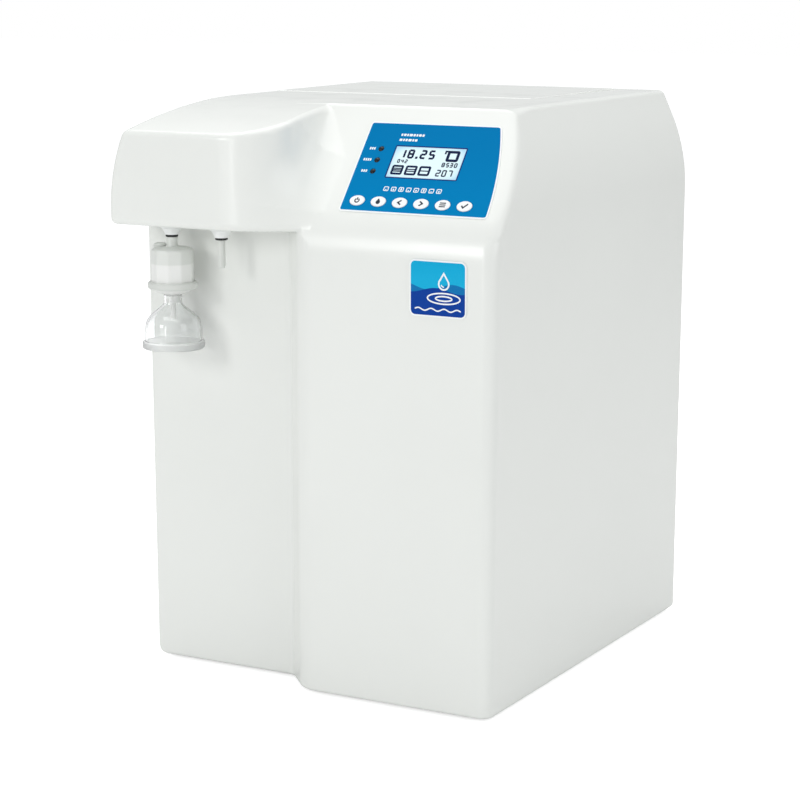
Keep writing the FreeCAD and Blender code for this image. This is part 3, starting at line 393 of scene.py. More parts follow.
@dataclass(frozen=True)
class DisplayFace(Finish):
    """Backlit liquid crystal display with its dot grid, behind a hard coat."""

    rim: Colour = (0.3, 0.5, 0.7)
    gaps: Colour = (0.5, 0.62, 0.72)
    centre: Point = (0.09256, -0.1560, 0.4603)
    half: Spot = (0.0332, 0.016)
    pitch: float = 0.00045
    backlight: float = 0.1

    def dress(self, graph: Graph) -> Values:
        """A backlight that falls off to the edges, and the grid between the dots."""
        x, y, z = graph.axes(graph.mapped((1, 1, 1), tuple(-c for c in self.centre)))
        up = y * math.cos(SLANT) + z * math.sin(SLANT)
        far = ((x / self.half[0]) ** 4 + (up / self.half[1]) ** 4).ramp(0.2, 1.6)
        across, along = (((way * (math.pi / self.pitch)).sine() ** 2).ramp(0.0, 0.12) for way in (x, up))
        grid = 1 - 0.02 * (1 - across * along)
        shade = graph.blend(grid, self.gaps, graph.blend(far, self.colour, self.rim))
        return {"Base Color": shade, "Emission Color": shade, "Roughness": self.roughness + 0.02 * far,
                "Emission Strength": self.backlight, "Specular IOR Level": 0.25}


@dataclass(frozen=True)
class BadgePrint(Finish):
    """Satin print of a pale sky over a deep swell."""

    sky_low: Colour = (0.1, 0.5, 0.8)
    swell: Colour = (0.0, 0.05, 0.3)
    horizon: float = 0.3655
    sky: float = 0.03
    wave: float = 0.0026
    length: float = 0.046

    def dress(self, graph: Graph) -> Values:
        """Two overlapping swells under a graded sky."""
        x, _, z = graph.axes(graph.places())
        shade = graph.blend(z.ramp(self.horizon, self.horizon + self.sky), self.sky_low, self.colour)
        middle = tuple((a + 2 * b) / 3 for a, b in zip(self.sky_low, self.swell))
        for colour, start, height, drop in ((middle, 0.9, 1.0, 0.0), (self.swell, 3.1, 0.8, 0.003)):
            crest = (x * (2 * math.pi / self.length) + start).sine() * (self.wave * height)
            shade = graph.blend((crest + (self.horizon - drop) - z).ramp(0.0, 0.0003), shade, colour)
        return {"Base Color": shade, "Roughness": self.roughness + 0.05 * graph.noise(1800.0, 2.0),
                "Specular IOR Level": 0.08}


@dataclass(frozen=True)
class CircuitBoard(Finish):
    """Green solder mask over copper tracks."""

    def dress(self, graph: Graph) -> Values:
        """Tracks, pads and the weave of the glass cloth."""
        cells = graph.cells({"distance": "CHEBYCHEV", "feature": "F2"}, {"Scale": 260.0, "Randomness": 0.7})
        tracks = (Flow(graph, cells.outputs["Distance"]) * 22.0).sine().ramp(0.2, 0.6)
        weave = graph.noise(3000.0, 1.0)
        red, green, blue = self.colour
        return self.surface(graph, tracks * 0.8 + weave * 0.2, self.colour,
                            (red * 2.2 + 0.01, green * 1.7, blue * 1.6), 0.1 * weave, tracks)


@dataclass(frozen=True)
class FilterFabric(Finish):
    """Pleated non-woven membrane."""

    def dress(self, graph: Graph) -> Values:
        """Matted fibres that run mostly upright."""
        fibres = graph.noise(1.0, 5.0, graph.mapped((2200, 2200, 260)))
        return self.surface(graph, fibres, self.shade(0.8), self.colour, 0.1 * fibres, fibres)


WHITE_PRINT = MouldedPlastic("white_print", tone(240, 243, 244), 0.45, clouds=0.01)
NAVY_PRINT = MouldedPlastic("navy_print", tone(16, 30, 66), 0.5, clouds=0.03, specular=0.1)
FRAME_PRINT = MouldedPlastic("frame_print", tone(8, 44, 112), 0.5, clouds=0.03, specular=0.1)
GREY_PRINT = MouldedPlastic("grey_print", tone(34, 44, 58), 0.5, clouds=0.03, specular=0.2)


class Slot(Enum):
    """The record's material slots, each with its finish."""

    cabinet_plastic = MouldedPlastic("cabinet_white", tone(233, 235, 231), 0.24, 0.000008)
    panel_print = PrintedPanel("panel_blue", tone(0, 124, 182), 0.42, 0.00002, deep=tone(0, 116, 174))
    key_plastic = MouldedPlastic("key_white", tone(240, 241, 242), 0.35, 0.00001, clouds=0.01)
    display_glass = ClearPlastic("display_window", tone(245, 250, 252), 0.06, 0.0, see_through=0.16)
    display_module = DisplayFace("display_pale", tone(214, 235, 240), 0.3, rim=tone(170, 208, 228))
    circuit_board = CircuitBoard("board_green", tone(24, 92, 58), 0.45, 0.00004)
    indicator_plastic = MouldedPlastic("lens_dark", tone(14, 17, 24), 0.25, 0.0, specular=0.3)
    badge_print = BadgePrint("badge_blue", tone(8, 165, 212), 0.25, sky_low=tone(24, 174, 218),
                             swell=tone(10, 62, 152))
    painted_sheet = PaintedMetal("back_white", tone(220, 222, 221), 0.5, 0.00006)
    sheet_steel = SheetMetal("zinc_steel", tone(178, 182, 186), 0.38, 0.00002)
    fastener_steel = SheetMetal("screw_steel", tone(190, 192, 194), 0.28, 0.00001)
    foot_rubber = Rubber("foot_black", tone(40, 41, 43), 0.75, 0.00008)
    seal_rubber = Rubber("seal_black", tone(28, 29, 31), 0.6, 0.00003)
    port_plastic = MouldedPlastic("port_white", tone(226, 228, 229), 0.4)
    nut_plastic = MouldedPlastic("nut_grey", tone(120, 124, 128), 0.5)
    black_plastic = MouldedPlastic("fitting_black", tone(36, 37, 40), 0.42, clouds=0.08)
    collar_plastic = MouldedPlastic("collar_white", tone(238, 240, 239), 0.36)
    frosted_plastic = ClearPlastic("frosted_white", tone(226, 229, 224), 0.36, 0.00002, clear=0.12, haze=0.1)
    clear_plastic = BellPlastic("bell_clear", tone(252, 253, 253), 0.03, 0.00001, haze=0.02)
    membrane_fabric = FilterFabric("membrane_white", tone(244, 244, 240), 0.85, 0.0001)
    cartridge_plastic = MouldedPlastic("cartridge_white", tone(232, 234, 236), 0.38)
    motor_paint = PaintedMetal("motor_grey", tone(96, 102, 110), 0.45, 0.00006)
    supply_aluminium = SheetMetal("supply_aluminium", tone(196, 199, 203), 0.35, 0.00003)
    valve_plastic = MouldedPlastic("valve_natural", tone(214, 214, 206), 0.4)
    tube_plastic = ClearPlastic("tube_milky", tone(226, 232, 236), 0.3, 0.00001, clear=0.25)


# ---------------------------------------------------------------- pieces


def place(piece: Thing, body: str, slot: Optional[Slot] = None,
          stands_for: Sequence[str] = ()) -> Thing:
    """Hang a finished piece on its body and report it.

    Args:
        piece: The object, with its place in its mesh.
        body: The CAD body that it moves with.
        slot: The record's material slot; not used.
        stands_for: CAD nodes that it replaces.

    Returns:
        The piece.
    """
    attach(piece, body)
    if stands_for:
        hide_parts(*stands_for)
    LOG.info("%s rides on %s, %d faces", piece.name, body, len(piece.data.polygons))
    return piece


def linked(name: str, data: bpy.types.ID) -> Thing:
    """Put a new object in the scene.

    Args:
        name: Its name.
        data: Its mesh, light or camera.

    Returns:
        The object.
    """
    made = bpy.data.objects.new(name, data)
    bpy.context.scene.collection.objects.link(made)
    return made


def mesh_piece(name: str, points: Iterable[Sequence[float]], faces: Iterable[Sequence[int]], finish: Finish,
               smooth: bool = False) -> Thing:
    """Make an object from points and faces.

    Args:
        name: The piece's name.
        points: Corners in metres.
        faces: Corner numbers of each face, counter-clockwise from outside.
        finish: Its surface.
        smooth: Whether the faces are shaded smooth.

    Returns:
        The object, linked to the scene.
    """
    mesh = bpy.data.meshes.new(name)
    mesh.from_pydata([tuple(float(c) for c in p) for p in points], [], [tuple(f) for f in faces])
    mesh.materials.append(finish.material())
    mesh.polygons.foreach_set("use_smooth", [smooth] * len(mesh.polygons))
    mesh.update()
    return linked(name, mesh)


@dataclass(frozen=True)
class Plane:
    """A flat face that printing or trim lies on, with sizes in millimetres."""

    origin: Point
    across: Point
    up: Point
    out: Point

    def at(self, u: float, v: float, w: float = 0.0) -> Vector:
        """The point `u` across, `v` up and `w` off the face, in metres."""
        spot = Vector(self.across) * u + Vector(self.up) * v + Vector(self.out) * w
        return Vector(self.origin) + spot * MM


CONTROL_FACE = Plane((0, -0.203, 0.404), (1, 0, 0), (0, math.cos(SLANT), math.sin(SLANT)),
                     (0, -math.sin(SLANT), math.cos(SLANT)))
FRONT_FACE = Plane((0, -0.203, 0), (1, 0, 0), (0, 0, 1), (0, -1, 0))


def arc(centre: Spot, radius: float, start: float, end: float, steps: int = 12) -> list[Spot]:
    """The `steps` + 1 points of an arc between two angles in degrees."""
    angles = [math.radians(start + (end - start) * k / steps) for k in range(steps + 1)]
    return [(centre[0] + radius * math.cos(a), centre[1] + radius * math.sin(a)) for a in angles]


def rounded_box(x0: float, x1: float, y0: float, y1: float, radius: float) -> list[Spot]:
    """The outline of a rectangle with round corners, counter-clockwise."""
    corners = [((x1 - radius, y0 + radius), -90), ((x1 - radius, y1 - radius), 0),
               ((x0 + radius, y1 - radius), 90), ((x0 + radius, y0 + radius), 180)]
    return [p for centre, start in corners for p in arc(centre, radius, start, start + 90, 6)]


class Printing:
    """Thin raised print on a flat face, drawn in millimetres."""

    SEGMENTS = ("abcdef", "bc", "abged", "abgcd", "fgbc", "afgcd", "afgedc", "abc", "abcdefg", "abcdfg")

    def __init__(self, plane: Plane, low: float, high: float) -> None:
        """Print from `low` to `high` millimetres off a plane."""
        self.plane, self.low, self.high = plane, low, high
        self.points, self.faces = [], []

    def area(self, outline: Sequence[Spot]) -> "Printing":
        """Print a filled outline.

        Args:
            outline: Its corners, in either direction.

        Returns:
            The printing, for chaining.
        """
        first, count = len(self.points), len(outline)
        turn = sum(a[0] * b[1] - a[1] * b[0] for a, b in zip(outline, [*outline[1:], outline[0]]))
        ring = outline if turn > 0 else outline[::-1]
        self.points += [self.plane.at(u, v, w) for w in (self.low, self.high) for u, v in ring]
        self.faces.append(list(range(first + count - 1, first - 1, -1)))
        self.faces.append(list(range(first + count, first + 2 * count)))
        for k in range(count):
            n = (k + 1) % count
            self.faces.append([first + k, first + n, first + count + n, first + count + k])
        return self

    def line(self, path: Sequence[Spot], width: float, closed: bool = False) -> "Printing":
        """Print a line of even width.

        Args:
            path: Its middle.
            width: Its width.
            closed: Whether it ends where it starts.

        Returns:
            The printing, for chaining.
        """
        first, count = len(self.points), len(path)
        for k, (x, y) in enumerate(path):
            before = path[k - 1] if k or closed else path[0]
            after = path[(k + 1) % count] if k < count - 1 or closed else path[-1]
            one = Vector((x - before[0], y - before[1])).normalized()
            two = Vector((after[0] - x, after[1] - y)).normalized()
            along = (one + two).normalized() if (one + two).length > 1e-6 else two
            reach = width / 2 / max(0.35, along.dot(two if two.length else one))
            off = Vector((-along.y, along.x)) * reach
            for sign, w in ((-1, self.low), (1, self.low), (1, self.high), (-1, self.high)):
                self.points.append(self.plane.at(x + sign * off.x, y + sign * off.y, w))
        for k in range(count if closed else count - 1):
            a, b = first + 4 * k, first + 4 * ((k + 1) % count)
            self.faces += [[a + m, a + (m + 1) % 4, b + (m + 1) % 4, b + m] for m in range(4)]
        if not closed:
            last = first + 4 * (count - 1)
            self.faces += [[first, first + 3, first + 2, first + 1], [last, last + 1, last + 2, last + 3]]
        return self

    def box(self, x0: float, x1: float, y0: float, y1: float, radius: float,
            width: float = 0.0) -> "Printing":
        """Print a rectangle with round corners, filled or as a line."""
        path = rounded_box(x0, x1, y0, y1, radius)
        return self.line(path, width, closed=True) if width else self.area(path)

    def number(self, text: str, u: float, v: float, height: float, stroke: float) -> "Printing":
        """Print a number in seven-segment figures.

        Args:
            text: Digits, with points between them.
            u, v: Lower left corner.
            height: Height of a figure.
            stroke: Width of a segment.

        Returns:
            The printing, for chaining.
        """
        wide, half = height * 0.55, height / 2
        corners = [(0, height), (wide, height), (wide, half), (wide, 0), (0, 0), (0, half)]
        ends = dict(zip("abcdefg", [*zip(corners, corners[1:] + corners[:1]), (corners[5], corners[2])]))
        for sign in text:
            if sign == ".":
                self.box(u - stroke * 0.6, u + stroke * 0.6, v - stroke * 0.5, v + stroke * 0.7, 0.05)
                u += stroke * 1.9
                continue
            for letter in self.SEGMENTS[int(sign)]:
                self.line([(u + x, v + y) for x, y in ends[letter]], stroke)
            u += wide + stroke * 2.1
        return self

    def droplet(self, u: float, v: float, size: float, width: float = 0.0) -> "Printing":
        """Print a drop standing on its round end, filled or as a line."""
        path = [(u, v + size * 0.62)] + arc((u, v), size * 0.33, 150, 390, 20)
        return self.line(path, width, closed=True) if width else self.area(path)

    def wave(self, u0: float, u1: float, v: float, height: float, length: float, width: float) -> "Printing":
        """Print a sine line.

        Args:
            u0, u1: Where it starts and ends, across.
            v: Height of its middle.
            height, length: Size of a wave.
            width: Width of the line.

        Returns:
            The printing, for chaining.
        """
        steps = max(12, int((u1 - u0) / length * 18))
        places = [(u1 - u0) * k / steps for k in range(steps + 1)]
        return self.line([(u0 + p, v + height * math.sin(2 * math.pi * p / length)) for p in places], width)

    def hang(self, name: str, finish: Finish, slot: Slot, body: str = "cabinet",
             stands_for: Sequence[str] = ()) -> None:
        """Make the print a piece and hang it on its body."""
        place(mesh_piece(name, self.points, self.faces, finish), body, slot, stands_for)


# ---------------------------------------------------------------- cabinet


def round_edge(a: Array, b: Array, radius: Any, cosine: Any = 0.0) -> Array:
    """Keep what is inside both of two forms, with the edge between them rounded.

    Args:
        a, b: Signed distances, negative inside.
        radius: The edge's radius.
        cosine: Cosine of the angle between the two faces' outward directions.

    Returns:
        The signed distance of the common form.
    """
    a, b = a + radius, b + radius
    corner = (b > a * cosine) & (a > b * cosine)
    square = np.maximum(a * a + b * b - 2 * a * b * cosine, 0)
    far = np.sqrt(square) / np.sqrt(1 - np.square(cosine))
    return np.where(corner, far, np.maximum(a, b)) - radius


def round_hollow(a: Array, b: Array, radius: Any, cosine: float = 0.0) -> Array:
    """Join two forms with the hollow between them filled to a radius: a round edge, inside out."""
    return -round_edge(-a, -b, radius, cosine)


def rise(value: Array, low: float, high: float) -> Array:
    """Go smoothly from 0 at `low` to 1 at `high`."""
    share = np.clip((value - low) / (high - low), 0, 1)
    return share * share * (3 - 2 * share)


def oval_edge(a: Array, b: Array, reach_a: float, reach_b: float) -> tuple[Array, Array]:
    """Keep what is inside both of two square faces, with a quarter-oval edge.

    Args:
        a, b: Signed distances to the two faces.
        reach_a: How deep the oval goes behind face a.
        reach_b: How deep it goes behind face b.

    Returns:
        The signed distance, and the share of the outward direction that is face a's.
    """
    u, v = a / reach_a + 1, b / reach_b + 1
    size = np.hypot(u, v)
    steep = np.maximum(np.hypot(u / reach_a, v / reach_b), 1e-6)
    corner = (u > 0) & (v > 0)
    far = (size - 1) * size / steep
    share = np.where(corner, (u / reach_a) / steep, np.where(a > b, 1.0, 0.0))
    return np.where(corner, far, np.maximum(a, b)), share


def bent_wall(u: Array, v: Array, centre: Spot, radius: float, low: float,
              high: float) -> Array:
    """Signed distance to a wall that is flat, then bends round an arc, then is flat again.

    Args:
        u, v: Level and upright coordinates.
        centre: The arc's centre.
        radius: The arc's radius.
        low, high: Outward directions in radians before and after the bend.

    Returns:
        The signed distance, negative inside.
    """
    u, v = u - centre[0], v - centre[1]
    angle = np.arctan2(v, u)
    flat = [u * math.cos(a) + v * math.sin(a) for a in (low, high)]
    return np.where(angle < low, flat[0], np.where(angle > high, flat[1], np.hypot(u, v))) - radius


@dataclass
class CabinetForm:
    """The moulded cabinet's outside as one flowing form."""

    half_width: float = 0.180
    draft: float = 0.003
    bottom: float = 0.003
    top: float = 0.505
    crown: float = 0.0009
    front: float = -0.203
    rear: float = 0.203
    shoulder_z: float = 0.415
    shoulder_r: float = 0.160
    shoulder_lean: float = math.radians(25)
    slope_foot: float = 0.404
    bend_r: float = 0.062
    head_front: float = -0.227
    head_right: float = -0.020
    head_bottom: float = 0.402
    head_corner: Spot = (0.044, 0.050)
    dome_r: float = 0.550
    dome_crest: float = -0.070
    dome_lean: float = 0.4
    dome_side: Spot = (0.022, 0.062)
    lid_front: float = 0.005
    bay_y: float = -0.171
    bay_turn: float = math.radians(48)
    nose_x: float = -0.003
    nose_r: float = 0.030
    bay_hollow_r: float = 0.014
    crest_r: float = 0.0055
    column_edge_r: float = 0.0115
    column_edge_y: Spot = (0.085, 0.130)
    edge_r: float = 0.0045
    rear_r: float = 0.003
    valley_r: float = 0.036
    rim_r: float = 0.006
    root_r: float = 0.018
    left_foot_r: float = 0.012
    rear_foot_r: float = 0.009
    bottom_r: float = 0.003

    def side(self, x: Array, z: Array) -> Array:
        """The two sides with their shoulders.

        Args:
            x, z: Coordinates.

        Returns:
            Signed distances.
        """
        low = -math.atan(self.draft / (self.shoulder_z - self.bottom))
        centre = (self.half_width - self.shoulder_r * math.cos(low),
                  self.shoulder_z - self.shoulder_r * math.sin(low))
        return bent_wall(np.abs(x), z, centre, self.shoulder_r, low, self.shoulder_lean)

    def face(self, y: Array, z: Array) -> Array:
        """The front and the control face above it.

        Args:
            y, z: Coordinates.

        Returns:
            Signed distances.
        """
        turn = math.pi / 2 - SLANT
        centre = (-self.front - self.bend_r, self.slope_foot - self.bend_r * math.tan(turn / 2))
        return bent_wall(-y, z, centre, self.bend_r, 0.0, turn)

    def roof(self, y: Array) -> Array:
        """The roof, which is crowned a little in front of the lid.

        Args:
            y: Coordinate.

        Returns:
            Its height.
        """
        crest = self.front + (self.top - self.slope_foot) / math.tan(SLANT)
        falling = np.clip((self.rear - y) / (self.rear - self.lid_front), 0, 1)
        return self.top + self.crown * rise(y, crest, self.dome_crest) * falling

    def dome(self, y: Array, z: Array) -> Array:
        """The head's domed roof.

        Args:
            y, z: Coordinates.

        Returns:
            Signed distances.
        """
        ahead = np.minimum(y - self.dome_crest, 0)
        dome = np.hypot(ahead, z - self.top - self.crown + self.dome_r) - self.dome_r
        return np.where(y > self.dome_crest, z - self.roof(y), dome)

    def head(self, x: Array, y: Array, z: Array) -> tuple[Array, Array]:
        """The dispensing head.

        Args:
            x, y, z: Coordinates.

        Returns:
            Signed distances to the head, and to the head as if it had no right side.
        """
        dome = self.dome(y, z)
        lean = np.clip((self.dome_crest - y) / self.dome_r, 0, self.dome_lean)
        wall, share = oval_edge(self.head_front - y, x - self.head_right, *self.head_corner)
        return (round_edge(wall, dome, self.crest_r, share * lean),
                round_edge(self.head_front - y, dome, self.crest_r, lean))

    def distance(self, p: Array) -> Array:
        """Signed distance from points to the cabinet's outside.

        Args:
            p: Points, the last axis holding x, y and z.

        Returns:
            Distances, negative inside.
        """
        x, y, z = p[..., 0], p[..., 1], p[..., 2]
        share = rise(-x, *self.dome_side)
        roof = (1 - share) * (z - self.roof(y)) + share * self.dome(y, z)
        column = round_edge(self.face(y, z), roof, self.crest_r, math.cos(SLANT))
        head, endless = self.head(x, y, z)
        reach = np.clip(column - endless, 1e-6, self.valley_r)
        upper = round_hollow(column, head, reach)
        turn = self.bay_turn
        slant = (self.nose_x - x) * math.sin(turn) + (self.front - y) * math.cos(turn)
        nose = round_edge(slant, self.front - y, self.nose_r, math.cos(turn))
        bay = round_hollow(self.bay_y - y, nose, self.bay_hollow_r, math.cos(turn))
        lower = np.maximum(column, bay)
        upper = round_edge(upper, self.head_bottom - z, self.rim_r)
        whole = round_hollow(lower, upper, np.clip(lower - upper, 1e-6, self.root_r))
        broad = rise(-y, *self.column_edge_y) * (x > 0)
        side, rear, foot = self.side(x, z), y - self.rear, self.bottom - z
        whole = round_edge(whole, side, self.edge_r + (self.column_edge_r - self.edge_r) * broad)
        whole = round_edge(round_edge(whole, rear, self.rear_r), foot, self.bottom_r)
        left_foot = round_edge(np.where(x < 0, side, -self.half_width), foot, self.left_foot_r)
        return np.maximum(whole, np.maximum(left_foot, round_edge(rear, foot, self.rear_foot_r)))

    def outward(self, p: Array, step: float = 2e-5) -> Array:
        """Measure which way the distance grows.

        Args:
            p: Points.
            step: How far it is measured each way, in metres.

        Returns:
            The slope of the distance at each point.
        """
        slope = np.empty_like(p)
        for axis in range(3):
            d = np.zeros(3)
            d[axis] = step
            slope[:, axis] = (self.distance(p + d) - self.distance(p - d)) / (2 * step)
        return slope

    def settled(self, p: Array, rounds: int = 5) -> Array:
        """Move points onto the form's surface."""
        for _ in range(rounds):
            g = self.outward(p)
            p = p - g * (self.distance(p) / np.maximum((g * g).sum(1), 0.25))[:, None]
        return p


@dataclass
class SurfaceNet:
    """Quads over a form's surface, one point for each grid cell that the surface crosses."""

    stops: tuple[tuple[float, ...], ...] = ((-0.184, -0.148, -0.070, 0.024, 0.146, 0.184),
                                            (-0.231, -0.160, -0.128, -0.100, 0.196, 0.208),
                                            (0.001, 0.011, 0.396, 0.508))
    spacings: tuple[tuple[float, ...], ...] = ((0.0019, 0.012, 0.0024, 0.015, 0.0019),
                                               (0.0021, 0.005, 0.0024, 0.018, 0.0017),
                                               (0.0012, 0.018, 0.0024))

    def lines(self, axis: int) -> Array:
        """Space the grid, close where the form bends.

        Args:
            axis: 0, 1 or 2.

        Returns:
            Places along the axis.
        """
        stops, places = self.stops[axis], [self.stops[axis][0]]
        for a, b, spacing in zip(stops, stops[1:], self.spacings[axis]):
            n = max(1, round((b - a) / spacing))
            places += [a + (b - a) * k / n for k in range(1, n + 1)]
        return np.array(places)

    def mesh(self, distance: Callable[[Array], Array]) -> tuple[Array, Array]:
        """Net a form.

        Args:
            distance: Its signed distance.

        Returns:
            Points, and quads that face outwards.
        """
        nodes = np.stack(np.meshgrid(*[self.lines(axis) for axis in range(3)], indexing="ij"), -1)
        f = distance(nodes)
        shape = tuple(n - 1 for n in f.shape)
        total, count, quads = np.zeros((*shape, 3)), np.zeros(shape), []
        for axis in range(3):
            low, high = [slice(None)] * 3, [slice(None)] * 3
            low[axis], high[axis] = slice(0, -1), slice(1, None)
            a, b = f[tuple(low)], f[tuple(high)]
            cross = (a < 0) != (b < 0)
            place, fa, fb = np.argwhere(cross), a[cross], b[cross]
            start, end = nodes[tuple(low)][cross], nodes[tuple(high)][cross]
            hit = start + (end - start) * (fa / (fa - fb))[:, None]
            u, v = (axis + 1) % 3, (axis + 2) % 3
            cells = []
            for du, dv in ((0, 0), (-1, 0), (-1, -1), (0, -1)):
                cell = place.copy()
                cell[:, u] += du
                cell[:, v] += dv
                cells.append(cell)
                np.add.at(total, tuple(cell.T), hit)
                np.add.at(count, tuple(cell.T), 1)
            quad = np.stack([np.ravel_multi_index(tuple(cell.T), shape) for cell in cells], 1)
            quad[fa >= 0] = quad[fa >= 0][:, ::-1]
            quads.append(quad)
        used, numbers = np.unique(np.concatenate(quads), return_inverse=True)
        points = total.reshape(-1, 3)[used] / count.reshape(-1)[used][:, None]
        return points, numbers.reshape(-1, 4)


@dataclass(frozen=True)
class Opening:
    """A convex space that is cut out of the cabinet's wall, as planes that face out of it."""

    planes: tuple[tuple[Vector, Vector], ...]
    reach: float = 0.03
    merge: float = 4e-5

    @staticmethod
    def block(*spans: Spot) -> "Opening":
        """A block between low and high places on the x, y and z axes, in metres."""
        axes = (Vector((1, 0, 0)), Vector((0, 1, 0)), Vector((0, 0, 1)))
        return Opening(tuple((axis * end, axis * sign) for axis, span in zip(axes, spans)
                             for end, sign in zip(span, (-1, 1))))

    @staticmethod
    def window(plane: Plane, u: Spot, v: Spot, depth: float = 12.0) -> "Opening":
        """A rectangle on a plane, in millimetres, cut `depth` both ways.

        Args:
            plane: The plane.
            u, v: Low and high places across it and up it.
            depth: Half the cut's depth.

        Returns:
            The opening.
        """
        across, up, out = Vector(plane.across), Vector(plane.up), Vector(plane.out)
        low, high = plane.at(u[0], v[0]), plane.at(u[1], v[1])
        return Opening(((low, -across), (high, across), (low, -up), (high, up),
                        (plane.at(u[0], v[0], depth), out), (plane.at(u[0], v[0], -depth), -out)))

    @staticmethod
    def hole(spot: Spot, radius: float, z: Spot, sides: int = 24) -> "Opening":
        """A round upright hole.

        Args:
            spot: Its middle, seen from above.
            radius: Its radius.
            z: Its lowest and highest place.
            sides: Number of flats.

        Returns:
            The opening.
        """
        turns = [2 * math.pi * k / sides for k in range(sides)]
        around = [Vector((math.cos(turn), math.sin(turn), 0)) for turn in turns]
        ends = [(Vector((0, 0, end)), Vector((0, 0, sign))) for end, sign in zip(z, (-1, 1))]
        return Opening((*((Vector((*spot, 0)) + n * radius, n) for n in around), *ends))

    def cut(self, skin: bmesh.types.BMesh) -> None:
        """Take this space out of a skin.

        Args:
            skin: The cabinet's outside.
        """
        inside = [f for f in skin.faces if all((f.calc_center_median() - point).dot(normal) < self.reach
                                               for point, normal in self.planes)]
        for point, normal in self.planes:
            parts: set = set(inside)
            for face in inside:
                parts.update(face.edges)
                parts.update(face.verts)
            made = bmesh.ops.bisect_plane(skin, geom=list(parts), dist=self.merge, plane_co=point,
                                          plane_no=normal)
            inside = [g for g in made["geom"] if isinstance(g, bmesh.types.BMFace)
                      and (g.calc_center_median() - point).dot(normal) < 0]
        bmesh.ops.delete(skin, geom=inside, context="FACES")


